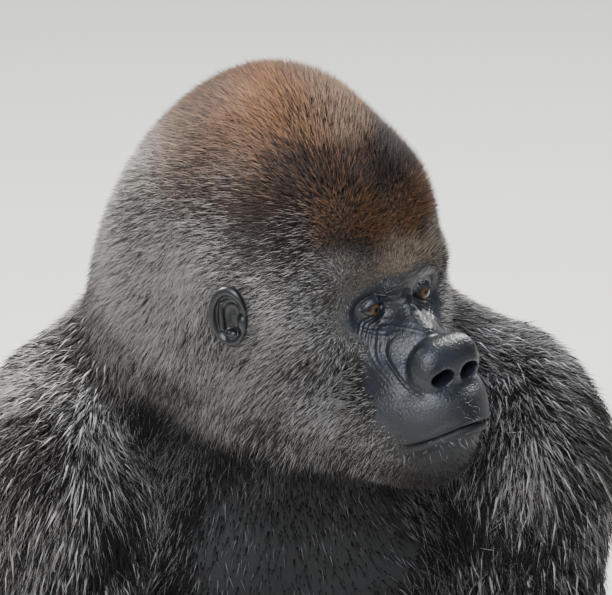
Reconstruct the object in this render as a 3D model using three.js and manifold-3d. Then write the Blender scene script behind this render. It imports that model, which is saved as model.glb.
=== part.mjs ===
// A silverback western gorilla, life size, sitting with its knuckles on the ground, its head turned to its left.
// Millimetres. +Z is up, the trunk faces -Y, and the animal's left side is +X. The origin is on the flat of the seat.
//
// The animal is one smooth field: balls and tapered bones melted into each other, and grown by the depth of the coat.
// Each sub-part is swept along its own bone: a ring of rays marches out from the bone until it leaves the field.
// Neighbours are then parted by thin planar cuts, or by cutting one with a slightly grown copy of the other.
import * as THREE from "three";
import { mergeVertices } from "three/addons/utils/BufferGeometryUtils.js";
import Module from "manifold-3d";

const wasm = await Module();
wasm.setup();
const { abs, cos, exp, hypot, max, min, PI, sin, sqrt } = Math;

// ---------------------------------------------------------------- driving sizes
const GAP = 0.5; // between two sub-parts that meet
const HEAD_AT = [22, -85, 885]; // midway between the ear holes
const HEAD_TURN = 33; // degrees to its left
const HEAD_LIFT = 3; // degrees, muzzle up
const SHOULDER = [236, -8, 640]; // the left joints; the right ones are mirrored
const ELBOW = [252, -180, 335];
const WRIST = [150, -340, 100];
const HIP = [115, 70, 150];
const KNEE = [405, -165, 215];
const ANKLE = [304, -420, 85];
const HEEL = [282, -390, 30];
const HAND_AIM = [-0.35, -0.937, 0]; // the way the knuckles point
const HAND_WIDE = [0.937, -0.35, 0]; // from the thumb's side to the little finger's
const FOOT_AIM = [0.22, -0.9755, 0];
const FOOT_WIDE = [0.9755, 0.22, 0];
const SOFT_MIDLINE = 25; // rounds off the crease where the two mirrored halves of the trunk meet
const EYE = { at: [34, 103.5, 18], radius: 13, socket: [36, 126, 16], hollow: [24, 22, 15] }; // head's frame
const NOSTRIL = { at: [17, 190, -36], radii: [10, 16, 8.5] };
const EAR = {
  at: [128, 3, 10],
  radii: [14, 22, 31],
  bowl: [11, 13.6, 19.2], // radii of its hollow
  bowlOut: 12.6,
  turn: 24, // lifts its rear edge off the head
};

// ---------------------------------------------------------------- vectors
const add = (a, b, s = 1) => [a[0] + b[0] * s, a[1] + b[1] * s, a[2] + b[2] * s];
const sub = (a, b) => [a[0] - b[0], a[1] - b[1], a[2] - b[2]];
const scale = (a, s) => [a[0] * s, a[1] * s, a[2] * s];
const dot = (a, b) => a[0] * b[0] + a[1] * b[1] + a[2] * b[2];
const cross = (a, b) => [a[1] * b[2] - a[2] * b[1], a[2] * b[0] - a[0] * b[2], a[0] * b[1] - a[1] * b[0]];
const unit = (a) => scale(a, 1 / hypot(...a));
const mix = (a, b, t) => add(scale(a, 1 - t), b, t);
const mirrored = (a) => [-a[0], a[1], a[2]];
const UP = [0, 0, 1];
const radians = (degrees) => (degrees * PI) / 180;

// ---------------------------------------------------------------- the head's own frame: side, forward, up
const ahead = [sin(radians(HEAD_TURN)), -cos(radians(HEAD_TURN)), 0];
const HEAD_SIDE = [cos(radians(HEAD_TURN)), sin(radians(HEAD_TURN)), 0];
const HEAD_FORWARD = unit(add(ahead, UP, Math.tan(radians(HEAD_LIFT))));
const HEAD_UP = cross(HEAD_FORWARD, HEAD_SIDE);
const fromHead = ([s, f, u]) => add(add(add(HEAD_AT, HEAD_SIDE, s), HEAD_FORWARD, f), HEAD_UP, u);
const alongHead = ([s, f, u]) => add(add(scale(HEAD_SIDE, s), HEAD_FORWARD, f), HEAD_UP, u);
const HEAD_FRAME = new THREE.Matrix4().makeBasis(
  new THREE.Vector3(...HEAD_SIDE),
  new THREE.Vector3(...HEAD_FORWARD),
  new THREE.Vector3(...HEAD_UP),
);
HEAD_FRAME.setPosition(...HEAD_AT);
const toHead = (p) => {
  const d = sub(p, HEAD_AT);
  return [dot(d, HEAD_SIDE), dot(d, HEAD_FORWARD), dot(d, HEAD_UP)];
};

// ---------------------------------------------------------------- field primitives, negative inside
const fuse = (a, b, k) => {
  const h = max(k - abs(a - b), 0) / k;
  return min(a, b) - (h * h * k) / 4;
};
const carve = (a, b, k) => -fuse(-a, b, k);
const ball = (p, at, r) => {
  const q = [(p[0] - at[0]) / r[0], (p[1] - at[1]) / r[1], (p[2] - at[2]) / r[2]];
  const n = hypot(...q) + 1e-9;
  return (n * (n - 1)) / (hypot(q[0] / r[0], q[1] / r[1], q[2] / r[2]) + 1e-12);
};
const bone = (p, a, b, ra, rb) => {
  const ab = sub(b, a);
  const t = min(max(dot(sub(p, a), ab) / dot(ab, ab), 0), 1);
  return hypot(...sub(p, add(a, ab, t))) - (ra + (rb - ra) * t);
};
// [shape, melt radius, sizes...] lists keep each region's anatomy readable
const melt = (p, pieces, start = 1e4) =>
  pieces.reduce((d, [k, shape, ...sizes]) => fuse(d, shape(p, ...sizes), k), start);

// ---------------------------------------------------------------- the head, mirrored about its midline
const SKULL = [
  [1, ball, [0, -15, 45], [92, 120, 100]], // braincase
  [50, ball, [0, -55, 122], [84, 114, 98]], // crest, with its muscle
  [50, ball, [36, 26, 102], [44, 68, 50]], // corner of the forehead
  [60, ball, [28, -128, 46], [86, 96, 114]], // nape
  [50, ball, [58, 8, 0], [50, 80, 85]], // temple and cheek
  [50, ball, [52, 0, -85], [52, 85, 68]], // jaw muscle
  [50, ball, [0, 60, -112], [72, 95, 55]], // under the jaw
  [30, ball, [0, 50, 0], [74, 55, 70]], // middle of the face
  [30, bone, [0, 107, 52], [54, 92, 47], 19, 17], // brow ridge
  [30, ball, [57, 78, -14], [21, 24, 26]], // cheek bone
  [20, bone, [36, 90, -10], [40, 128, -64], 18, 25], // beside the muzzle
  [20, bone, [17, 104, 4], [26, 138, -44], 17, 22], // beside the nose
];
const MUZZLE = [
  [1, ball, [0, 136, -84], [66, 78, 48]],
  [30, ball, [0, 130, -126], [52, 66, 42]], // chin
];
const NOSE = [
  { at: [20, 172, -34], radii: [22.5, 27, 29] }, // wings, one each side
  { at: [-20, 172, -34], radii: [22.5, 27, 29] },
  { at: [0, 176, -32], radii: [22, 23, 29] }, // tip
];
const BRIDGE = { from: [0, 90, 24], to: [0, 148, -20], radii: [17, 27] };
function headField(p) {
  const q = toHead(p);
  q[0] = abs(q[0]);
  const d = fuse(melt(q, SKULL), melt(q, MUZZLE), 30);
  return carve(d, ball(q, EYE.socket, EYE.hollow), 14);
}

// ---------------------------------------------------------------- the trunk and neck
const TRUNK = [
  [1, ball, [30, 85, 140], [175, 165, 165]], // pelvis
  [100, ball, [0, -10, 300], [218, 200, 205]], // belly
  [100, ball, [0, 85, 480], [230, 185, 265]], // ribs
  [80, ball, [100, 125, 610], [150, 120, 150]], // shoulder blades
  [60, ball, [80, -45, 585], [95, 75, 80]], // chest muscles
  [60, ball, [150, 110, 500], [100, 110, 160]], // flanks
  [80, bone, [30, 85, 690], [220, 35, 680], 115, 70], // yoke of the shoulders
];
const NECK = [
  [1, bone, [0, 80, 700], fromHead([-40, -110, -20]), 140, 122],
  [80, bone, [0, 60, 825], [-205, 60, 712], 112, 68], // slope down to the right shoulder
  [80, bone, [20, 60, 772], [205, 30, 702], 90, 68], // and to the left one
  [60, bone, [0, 0, 700], fromHead([0, 0, -70]), 100, 80], // throat
];
const trunkField = (p, m) => fuse(melt(m, TRUNK), melt(p, NECK), 80);

// ---------------------------------------------------------------- the left limbs
const ARM = [
  [1, ball, add(SHOULDER, [3, 8, 10]), [84, 98, 103]], // deltoid
  [60, bone, SHOULDER, ELBOW, 74, 56],
  [40, bone, ELBOW, WRIST, 60, 34],
  [40, ball, mix(ELBOW, WRIST, 0.28), [60, 60, 70]],
];
const LEG = [
  [1, bone, HIP, KNEE, 115, 70],
  [40, bone, KNEE, ANKLE, 64, 40],
  [40, ball, add(mix(KNEE, ANKLE, 0.35), [0, 12, -12]), [60, 60, 70]], // calf
];
const FINGER = {
  pitch: 23.5, // from one knuckle to the next
  toKnuckle: 48,
  knuckleHeight: 64,
  length: 36, // of each of the two folded bones
  bendHeight: 15, // this joint stands on the ground
  tip: [10, 20], // back and up from the fold
  atWrist: 0.45, // the pitch narrows towards the wrist
  radii: [18.5, 17.5, 17, 15.5],
};
const PALM_RADII = [27, 18.5];
const FINGERS = [0, 1, 2, 3].map((i) => {
  const across = (i - 1.5) * FINGER.pitch;
  const level = add(add(WRIST, HAND_AIM, FINGER.toKnuckle), HAND_WIDE, across);
  const knuckle = [...level.slice(0, 2), FINGER.knuckleHeight];
  const bend = [...add(knuckle, HAND_AIM, FINGER.length).slice(0, 2), FINGER.bendHeight];
  const fold = add(bend, HAND_AIM, -FINGER.length);
  const tip = add(add(fold, HAND_AIM, -FINGER.tip[0]), UP, FINGER.tip[1]);
  return { root: add(WRIST, HAND_WIDE, across * FINGER.atWrist), knuckle, bend, fold, tip };
});
// Each joint of the thumb and great toe, as steps along the aim, across and up from the one before it
const onward = (from, aim, wide, [a, w, u]) => add(add(add(from, wide, w), aim, a), UP, u);
const THUMB = { steps: [[12, -22, -18], [34, -26, -30], [24, 4, -20]], radii: [22, 17, 14.5] };
const thumbRoot = onward(WRIST, HAND_AIM, HAND_WIDE, THUMB.steps[0]);
const thumbMiddle = onward(thumbRoot, HAND_AIM, HAND_WIDE, THUMB.steps[1]);
const thumbTip = onward(thumbMiddle, HAND_AIM, HAND_WIDE, THUMB.steps[2]);
const PALM = FINGERS.map((f) => [8, bone, f.root, f.knuckle, ...PALM_RADII]);

const TOE = {
  base: (i) => [180 - 12 * i, -14 + 21.5 * i, -13], // from the heel
  tip: (i) => [60 - 5 * i, 4 * i, -4], // from the base
  instep: (i) => [60, 10 * (i - 1.5), 4],
  radii: [19, 17],
  instepRadii: [31, 18.5],
};
const TOES = [0, 1, 2, 3].map((i) => {
  const base = onward(HEEL, FOOT_AIM, FOOT_WIDE, TOE.base(i));
  return { base, tip: onward(base, FOOT_AIM, FOOT_WIDE, TOE.tip(i)) };
});
const GREAT_TOE = {
  steps: [[85, -18, -4], [55, -38, -6], [42, -10, -3]],
  radii: [27, 21.5, 19],
  web: [26, 20.5],
};
const greatRoot = onward(HEEL, FOOT_AIM, FOOT_WIDE, GREAT_TOE.steps[0]);
const greatMiddle = onward(greatRoot, FOOT_AIM, FOOT_WIDE, GREAT_TOE.steps[1]);
const greatTip = onward(greatMiddle, FOOT_AIM, FOOT_WIDE, GREAT_TOE.steps[2]);
const SOLE = [
  [1, bone, HEEL, onward(HEEL, FOOT_AIM, FOOT_WIDE, [85, 0, 12]), 34, 34],
  ...TOES.map((t, i) => {
    const instep = onward(HEEL, FOOT_AIM, FOOT_WIDE, TOE.instep(i));
    return [12, bone, instep, t.base, ...TOE.instepRadii];
  }),
  [12, bone, greatRoot, greatMiddle, ...GREAT_TOE.web],
];

// ---------------------------------------------------------------- depth of the coat over the skin
const COAT = [
  { at: [0, 60, 500], reach: 300, depth: 16 },
  { at: [0, -150, 280], reach: 200, depth: 12 },
  { at: [250, -90, 500], reach: 160, depth: 24 },
  { at: [200, -270, 210], reach: 120, depth: 26 },
  { at: [250, -50, 250], reach: 200, depth: 20 },
  { at: [360, -290, 150], reach: 120, depth: 20 },
  { at: [140, -410, 30], reach: 55, depth: 2 }, // hands
  { at: [312, -525, 20], reach: 100, depth: 2 }, // feet
  { at: [70, -150, 600], reach: 100, depth: 3 }, // the bare chest
];
const HEAD_COAT = { depth: 15, aroundEar: 45, thinning: 0.8, onset: 55 };
const FACE = [[0, 170, -45], [72, 110, 115]]; // where the coat thins to nothing
const HEAD_REGION = { egg: [[0, 0, 20], [130, 220, 200]], fade: 20, pull: 3 };
function headCoat(p) {
  const q = toHead(p);
  q[0] = abs(q[0]);
  const fromFace = min(max((ball(q, ...FACE) + 4) / HEAD_COAT.onset, 0), 1);
  const fromEar = sub(q, EAR.at);
  const thin = 1 - HEAD_COAT.thinning * exp(-dot(fromEar, fromEar) / HEAD_COAT.aroundEar ** 2);
  const near = HEAD_REGION.pull * exp(-max(ball(q, ...HEAD_REGION.egg), 0) / HEAD_REGION.fade);
  return { near, depth: 1 + fromFace * (2 - fromFace) * HEAD_COAT.depth * thin };
}
function coat(p, m) {
  const head = headCoat(p);
  let weight = head.near + 1e-9;
  let sum = head.near * head.depth;
  for (const { at, reach, depth } of COAT) {
    const d = sub(m, at);
    const near = exp(-dot(d, d) / (reach * reach));
    weight += near;
    sum += near * depth;
  }
  return sum / weight;
}

// ---------------------------------------------------------------- whole fields of each region, coat included
const leftOf = (p) => [hypot(p[0], SOFT_MIDLINE), p[1], p[2]];
const BELOW_FLOOR = 25; // the shapes run on under the ground, and are cut flat at it
const coated = (field) => (p) => {
  const m = leftOf(p);
  return max(field(p, m) - coat(p, m), -p[2] - BELOW_FLOOR);
};
const headAndTrunk = coated((p, m) => fuse(trunkField(p, m), headField(p), 60));
const arms = coated((p, m) => fuse(trunkField(p, m), melt(m, ARM), 40));
const legs = coated((p, m) => fuse(trunkField(p, m), fuse(melt(m, LEG), melt(m, SOLE), 20), 50));
const forearms = coated((p, m) => melt(m, ARM));
const shins = coated((p, m) => melt(m, LEG));
const palms = coated((p, m) => fuse(melt(m, ARM), melt(m, PALM), 15));
const soles = coated((p, m) => fuse(melt(m, LEG), melt(m, SOLE), 20));

// ---------------------------------------------------------------- from the field to closed solids
const STEP = { share: 0.7, least: 1.5, halvings: 14 }; // of the march along a ray
// The first place along a ray from inside where the field ends, or the limit.
function marchOut(field, from, along, limit) {
  let inside = 0;
  let t = 0;
  while (t < limit) {
    const d = field(add(from, along, t));
    if (d >= 0) break;
    inside = t;
    t += max(-d * STEP.share, STEP.least);
  }
  if (t >= limit) return limit;
  for (let i = 0; i < STEP.halvings; i++) {
    const middle = (inside + t) / 2;
    if (field(add(from, along, middle)) < 0) inside = middle;
    else t = middle;
  }
  return inside;
}

// Rings of rays along a bone. The first and last rings lie in the planes of the two ends, which close the solid flat.
function sweep(field, { path, normals, sides, rings, limit }) {
  const grid = new THREE.CylinderGeometry(1, 1, 1, sides, rings);
  const places = grid.getAttribute("position");
  const lengths = path.slice(1).map((p, i) => hypot(...sub(p, path[i])));
  const total = lengths.reduce((a, b) => a + b);
  const centreAt = (share) => {
    let left = share * total;
    let i = 0;
    while (i < lengths.length - 1 && left > lengths[i]) left -= lengths[i++];
    return mix(path[i], path[i + 1], min(left / lengths[i], 1));
  };
  for (let i = 0; i < places.count; i++) {
    const share = 0.5 - places.getY(i); // the grid's top end is the start of the path
    const centre = centreAt(share);
    const normal = unit(mix(normals[0], normals[1], share));
    const across = unit(cross(normal, abs(normal[0]) < 0.8 ? [1, 0, 0] : [0, 1, 0]));
    const other = cross(normal, across);
    const angle = Math.atan2(places.getZ(i), places.getX(i));
    const onRim = hypot(places.getX(i), places.getZ(i)) > 0.5;
    const along = add(scale(across, cos(angle)), other, sin(angle));
    const reach = onRim ? marchOut(field, centre, along, limit(share)) : 0;
    const at = add(centre, along, reach);
    places.setXYZ(i, ...at);
  }
  return solid(grid);
}

// A globe of rays from one point, its pole on the axis given. Rings crowd towards that pole by the power `crowd`.
function globe(field, { centre, axis, across, sides, rings, limit, crowd = 1 }) {
  const grid = new THREE.SphereGeometry(1, sides, rings);
  const places = grid.getAttribute("position");
  const other = cross(axis, across);
  for (let i = 0; i < places.count; i++) {
    const y = places.getY(i);
    const polar = PI * (Math.acos(min(max(y, -1), 1)) / PI) ** crowd;
    const angle = Math.atan2(places.getZ(i), places.getX(i));
    const flat = add(scale(across, cos(angle)), other, sin(angle));
    const along = add(scale(axis, cos(polar)), flat, sin(polar));
    const at = add(centre, along, marchOut(field, centre, along, limit));
    places.setXYZ(i, ...at);
  }
  return solid(grid);
}

// A tapered bone with round ends, turned on a lathe.
function capsule(a, b, ra, rb, sides = 8) {
  const length = hypot(...sub(b, a));
  const profile = [
    [0, -0.8 * ra],
    [0.9 * ra, -0.4 * ra],
    [rb, length],
    [0, length + 0.9 * rb],
  ].map(([r, y]) => new THREE.Vector2(r, y));
  const shape = new THREE.LatheGeometry(profile, sides);
  const turn = new THREE.Quaternion().setFromUnitVectors(
    new THREE.Vector3(0, 1, 0),
    new THREE.Vector3(...unit(sub(b, a))),
  );
  shape.applyQuaternion(turn);
  shape.translate(...a);
  return solid(shape);
}

// A three.js shape as a manifold solid, turned the right way out.
function solid(geometry) {
  const bare = geometry.clone();
  bare.deleteAttribute("normal");
  bare.deleteAttribute("uv");
  const merged = mergeVertices(bare, 1e-3);
  const index = [...merged.index.array];
  const triVerts = [];
  for (let i = 0; i < index.length; i += 3) {
    const [a, b, c] = index.slice(i, i + 3);
    if (a !== b && b !== c && a !== c) triVerts.push(a, b, c);
  }
  const make = (order) =>
    new wasm.Manifold(
      new wasm.Mesh({
        numProp: 3,
        vertProperties: new Float32Array(merged.getAttribute("position").array),
        triVerts: new Uint32Array(order),
      }),
    );
  const made = make(triVerts);
  return made.volume() > 0 ? made : make(triVerts.toReversed());
}

const union = (solids) => solids.reduce((a, b) => a.add(b));
const FAR = 3000;
// A block that fills all the space on one side of a plane.
function halfSpace(at, normal) {
  const block = new THREE.BoxGeometry(FAR, FAR, FAR);
  block.translate(0, 0, FAR / 2);
  block.applyQuaternion(
    new THREE.Quaternion().setFromUnitVectors(new THREE.Vector3(...UP), new THREE.Vector3(...unit(normal))),
  );
  block.translate(...at);
  return solid(block);
}
const beyond = (piece, at, normal) => piece.intersect(halfSpace(add(at, unit(normal), GAP / 2), normal));
const within = (piece, at, normal) => piece.subtract(halfSpace(add(at, unit(normal), -GAP / 2), normal));
const largest = (piece) => piece.decompose().toSorted((a, b) => b.volume() - a.volume())[0];
const grownBy = (field, extra) => (p) => field(p) - extra;

// ---------------------------------------------------------------- planes that part the body
const HEAD_CUT = { at: fromHead([0, -90, -75]), normal: alongHead([0, 0.658, 0.752]) };
const NECK_CUT = { at: [0, 0, 775], normal: [0, -0.371, 0.928] };
const WAIST_CUT = { at: [0, 0, 430], normal: [0, 0.17, 0.985] };
const MOUTH_CUT = { at: fromHead([0, 214, -96]), normal: alongHead([0, -0.27, 0.963]) };

// ---------------------------------------------------------------- trunk, neck and head
const aboveFloor = (piece) => piece.intersect(halfSpace([0, 0, 0], UP));
const torsoShape = {
  centre: [0, 50, 470],
  axis: UP,
  across: [0, -1, 0],
  sides: 24,
  rings: 18,
  limit: 700,
};
const torsoWhole = (extra) => aboveFloor(globe(grownBy(headAndTrunk, extra), torsoShape));
const torso = within(torsoWhole(0), HEAD_CUT.at, HEAD_CUT.normal);
const torsoGrown = torsoWhole(GAP);
const neck = largest(beyond(torso, NECK_CUT.at, NECK_CUT.normal));
const ribs = within(torso, NECK_CUT.at, NECK_CUT.normal);
const chest = largest(beyond(ribs, WAIST_CUT.at, WAIST_CUT.normal));
const belly = largest(within(ribs, WAIST_CUT.at, WAIST_CUT.normal));

const eyeball = (side, extra = 0) => {
  const shape = new THREE.SphereGeometry(EYE.radius + extra, 10, 8);
  shape.rotateX(-PI / 2);
  shape.translate(...fromHead([side * EYE.at[0], EYE.at[1], EYE.at[2]]));
  return solid(shape);
};
const skullShape = {
  centre: fromHead([0, 45, -25]),
  axis: HEAD_FORWARD,
  across: HEAD_UP,
  sides: 29,
  rings: 20,
  limit: 330,
  crowd: 1.15,
};
const HEAD_HALF = 150; // wider than the head, and narrower than the shoulders beside it
const headOnly = (p) => max(headAndTrunk(p), abs(toHead(p)[0]) - HEAD_HALF);
const skullWhole = globe(headOnly, skullShape);
const skullGrown = globe(grownBy(headOnly, GAP), skullShape);
const egg = ({ at, radii }, side = 1) => {
  const shape = new THREE.SphereGeometry(1, 8, 6).scale(...radii);
  shape.translate(side * at[0], at[1], at[2]);
  return solid(shape.applyMatrix4(HEAD_FRAME));
};
const bridge = capsule(fromHead(BRIDGE.from), fromHead(BRIDGE.to), ...BRIDGE.radii, 8);
const noseParts = NOSE.map((part) => egg(part));
const nosed = union([beyond(skullWhole, HEAD_CUT.at, HEAD_CUT.normal), bridge, ...noseParts]);
const skull = [-1, 1].reduce(
  (piece, side) => piece.subtract(eyeball(side, GAP)).subtract(egg(NOSTRIL, side)),
  nosed,
);
const head = largest(beyond(skull, MOUTH_CUT.at, MOUTH_CUT.normal));
const jaw = largest(within(skull, MOUTH_CUT.at, MOUTH_CUT.normal));

// The ear is a leaning oval shell with a hollow in it, rooted on the head.
function ear(side) {
  const place = (shape) => {
    shape.rotateZ(radians(EAR.turn) * side);
    shape.translate(side * EAR.at[0], EAR.at[1], EAR.at[2]);
    return solid(shape.applyMatrix4(HEAD_FRAME));
  };
  const shell = new THREE.SphereGeometry(1, 10, 8).scale(...EAR.radii);
  const bowl = new THREE.SphereGeometry(1, 7, 5).scale(...EAR.bowl);
  bowl.translate(side * EAR.bowlOut, 0, 2);
  return largest(place(shell).subtract(place(bowl)).subtract(skullGrown));
}

// ---------------------------------------------------------------- limbs, built on the left and mirrored
const bisector = (a, b, c) => unit(add(unit(sub(b, a)), unit(sub(c, b))));
const ELBOW_CUT = bisector(SHOULDER, ELBOW, WRIST);
const KNEE_CUT = bisector(HIP, KNEE, ANKLE);
const WRIST_CUT = unit(sub(WRIST, ELBOW));
const ANKLE_CUT = unit(sub(ANKLE, KNEE));
const inward = (at, normal) => add(at, normal, -GAP / 2);
const outward = (at, normal) => add(at, normal, GAP / 2);

const armRoot = add(SHOULDER, [-70, 25, 30]);
const upperArm = sweep(arms, {
  path: [armRoot, SHOULDER, inward(ELBOW, ELBOW_CUT)],
  normals: [unit([0.75, -0.1, -0.65]), ELBOW_CUT],
  sides: 14,
  rings: 9,
  limit: (share) => 165 - 50 * share,
});
const forearmShape = {
  path: [outward(ELBOW, ELBOW_CUT), inward(WRIST, WRIST_CUT)],
  normals: [ELBOW_CUT, WRIST_CUT],
  sides: 12,
  rings: 7,
  limit: () => 130,
};
const forearm = sweep(forearms, forearmShape);
const forearmGrown = sweep(grownBy(forearms, GAP), forearmShape);
const thighShape = {
  path: [add(HIP, [-30, 25, -5]), inward(KNEE, KNEE_CUT)],
  normals: [unit(sub(KNEE, HIP)), KNEE_CUT],
  sides: 14,
  rings: 8,
  limit: () => 190,
};
const thigh = sweep(legs, thighShape);
const thighGrown = sweep(grownBy(legs, GAP), thighShape);
const shin = sweep(shins, {
  path: [outward(KNEE, KNEE_CUT), inward(ANKLE, ANKLE_CUT)],
  normals: [KNEE_CUT, ANKLE_CUT],
  sides: 12,
  rings: 7,
  limit: () => 130,
}).subtract(forearmGrown);

// The hand: a swept palm, and lathe-turned finger bones folded so that the middle joints stand on the ground.
const palm = sweep(palms, {
  path: [outward(WRIST, WRIST_CUT), add(mix(FINGERS[1].knuckle, FINGERS[2].knuckle, 0.5), HAND_AIM, 6)],
  normals: [WRIST_CUT, unit(add(HAND_AIM, UP, -0.35))],
  sides: 10,
  rings: 3,
  limit: () => 70,
});
const fingers = FINGERS.flatMap(({ knuckle, bend, fold, tip }) => [
  capsule(knuckle, bend, FINGER.radii[0], FINGER.radii[1], 5),
  capsule(bend, mix(fold, tip, 0.5), FINGER.radii[2], FINGER.radii[3], 5),
]);
const thumb = [
  capsule(thumbRoot, thumbMiddle, THUMB.radii[0], THUMB.radii[1], 5),
  capsule(thumbMiddle, thumbTip, THUMB.radii[1], THUMB.radii[2], 5),
];
const beforeWrist = (piece) => piece.intersect(halfSpace(outward(WRIST, WRIST_CUT), WRIST_CUT));
const hand = largest(beforeWrist(aboveFloor(union([palm, ...fingers, ...thumb]))));

// The foot: a swept sole from the heel, with toes and an opposed great toe.
const soleStart = add(HEEL, FOOT_AIM, -30);
const sole = sweep(soles, {
  path: [soleStart, add(HEEL, FOOT_AIM, 20), add(add(HEEL, FOOT_AIM, 168), UP, -14)],
  normals: [FOOT_AIM, unit(add(FOOT_AIM, FOOT_WIDE, 0.35))],
  sides: 12,
  rings: 6,
  limit: (share) => 60 + 40 * share,
});
const ankleBlock = capsule(ANKLE, add(HEEL, FOOT_AIM, 10), 50, 34, 8);
const toes = TOES.map(({ base, tip }) => capsule(base, tip, ...TOE.radii, 6));
const greatToe = [
  capsule(greatRoot, greatMiddle, GREAT_TOE.radii[0], GREAT_TOE.radii[1], 6),
  capsule(greatMiddle, greatTip, GREAT_TOE.radii[1], GREAT_TOE.radii[2], 6),
];
const belowAnkle = (piece) => piece.intersect(halfSpace(outward(ANKLE, ANKLE_CUT), ANKLE_CUT));
const foot = largest(belowAnkle(aboveFloor(union([sole, ankleBlock, ...toes, ...greatToe]))));

// ---------------------------------------------------------------- materials and the finished group
const materials = {
  crown: new THREE.MeshStandardMaterial({ color: 0x4a3428, roughness: 0.8 }),
  silver: new THREE.MeshStandardMaterial({ color: 0x6d6a68, roughness: 0.8 }),
  dark: new THREE.MeshStandardMaterial({ color: 0x35312f, roughness: 0.75 }),
  skin: new THREE.MeshStandardMaterial({ color: 0x23262b, roughness: 0.45 }),
  eye: new THREE.MeshStandardMaterial({ color: 0x5a3414, roughness: 0.1 }),
};

const gorilla = new THREE.Group();
function place(name, piece, material) {
  const { numProp, vertProperties, triVerts } = piece.getMesh();
  const count = vertProperties.length / numProp;
  const points = new Float32Array(count * 3);
  for (let i = 0; i < count; i++) {
    points.set(vertProperties.subarray(i * numProp, i * numProp + 3), i * 3);
  }
  const geometry = new THREE.BufferGeometry();
  geometry.setAttribute("position", new THREE.BufferAttribute(points, 3));
  geometry.setIndex(new THREE.BufferAttribute(triVerts, 1));
  geometry.computeVertexNormals();
  const mesh = new THREE.Mesh(geometry, material);
  mesh.name = name;
  gorilla.add(mesh);
}
place("head", head, materials.crown);
place("jaw", jaw, materials.skin);
place("neck", neck, materials.silver);
place("chest", chest, materials.silver);
place("belly", belly, materials.silver);
for (const [side, sign] of [["left", 1], ["right", -1]]) {
  place("eye_" + side, eyeball(sign), materials.eye);
  place("ear_" + side, ear(sign), materials.skin);
  const onSide = (piece) => (sign > 0 ? piece : piece.mirror([1, 0, 0]));
  const clearOfBody = (piece) => largest(aboveFloor(onSide(piece)).subtract(torsoGrown).subtract(skullGrown));
  place("upper_arm_" + side, clearOfBody(upperArm.subtract(thighGrown)), materials.dark);
  place("forearm_" + side, clearOfBody(forearm.subtract(thighGrown)), materials.dark);
  place("hand_" + side, onSide(hand), materials.skin);
  place("thigh_" + side, clearOfBody(thigh), materials.dark);
  place("shin_" + side, onSide(aboveFloor(shin)), materials.dark);
  place("foot_" + side, onSide(foot), materials.skin);
}

export default gorilla;
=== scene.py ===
# A silverback gorilla: one skin from a smooth field of balls and bones, a solid coat of tufts, ears, eyes and
# nails.
# Metres, +Z up, the trunk faces -Y and the animal's left is +X, as in the frame.
import math
import time
import bpy
import numpy as np
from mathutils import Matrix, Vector


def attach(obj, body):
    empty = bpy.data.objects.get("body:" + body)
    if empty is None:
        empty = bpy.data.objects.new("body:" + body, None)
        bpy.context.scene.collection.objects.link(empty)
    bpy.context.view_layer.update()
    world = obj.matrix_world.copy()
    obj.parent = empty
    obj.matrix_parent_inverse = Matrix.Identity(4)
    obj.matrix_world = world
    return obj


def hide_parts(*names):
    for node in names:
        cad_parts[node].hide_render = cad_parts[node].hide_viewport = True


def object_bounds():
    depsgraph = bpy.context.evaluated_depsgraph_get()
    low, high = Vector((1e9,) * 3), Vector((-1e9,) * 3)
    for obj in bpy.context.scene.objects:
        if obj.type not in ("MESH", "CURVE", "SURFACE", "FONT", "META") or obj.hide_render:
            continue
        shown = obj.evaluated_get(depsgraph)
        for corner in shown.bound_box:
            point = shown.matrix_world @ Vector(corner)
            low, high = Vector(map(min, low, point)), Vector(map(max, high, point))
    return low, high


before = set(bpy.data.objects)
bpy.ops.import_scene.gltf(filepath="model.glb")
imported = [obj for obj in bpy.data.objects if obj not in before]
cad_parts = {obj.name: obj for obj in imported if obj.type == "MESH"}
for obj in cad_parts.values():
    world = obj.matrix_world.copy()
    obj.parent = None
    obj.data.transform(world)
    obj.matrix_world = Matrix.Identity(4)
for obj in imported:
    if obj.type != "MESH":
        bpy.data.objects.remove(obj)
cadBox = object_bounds()
dice = np.random.default_rng(11)
started = time.time()


# Field shapes. Each takes points (n, 3) and gives the distance to its surface, negative inside.
def size(a):
    return np.sqrt((a * a).sum(-1))


def unit(a):
    return a / (size(a)[..., None] + 1e-12)


def fuse(a, b, k):  # the lower of two distances, rounded over where they differ by less than k
    h = np.maximum(k - np.abs(a - b), 0) / k
    return np.minimum(a, b) - h * h * k / 4


def carve(a, b, k):  # a with b taken out of it, the edge rounded by k
    return -fuse(-a, b, k)


def ball(p, at, radii):  # ellipsoid: scaled length, times itself less one, over its gradient
    q = (p - np.array(at)) / np.array(radii)
    n = size(q) + 1e-9
    return n * (n - 1) / (size(q / np.array(radii)) + 1e-9)


def bone(p, a, b, ra, rb):  # round-ended bar from a to b whose radius runs from ra to rb
    a, b = np.array(a), np.array(b)
    t = np.clip((p - a) @ (b - a) / ((b - a) @ (b - a)), 0, 1)
    return size(p - a - t[:, None] * (b - a)) - (ra + (rb - ra) * t)


def melt(p, pieces):  # rows of (rounding, shape, its sizes), each fused onto those before it
    d = None
    for k, shape, *sizes in pieces:
        e = shape(p, *sizes)
        d = e if d is None else fuse(d, e, k)
    return d


def within(field, p, centre, reach, apart=0.08):
    # The field's own value inside a ball, and outside it a distance too great to be felt by any rounding
    away = size(p - centre) - reach
    d = np.maximum(away, 0) + apart
    near = away < 0
    if near.any():
        d[near] = field(p[near])
    return d


def step(x, low, high):  # 0 below low, 1 above high, smooth between
    t = np.clip((x - low) / (high - low), 0, 1)
    return t * t * (3 - 2 * t)


def bell(x, width):
    return np.exp(-(x / width) ** 2)


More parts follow.
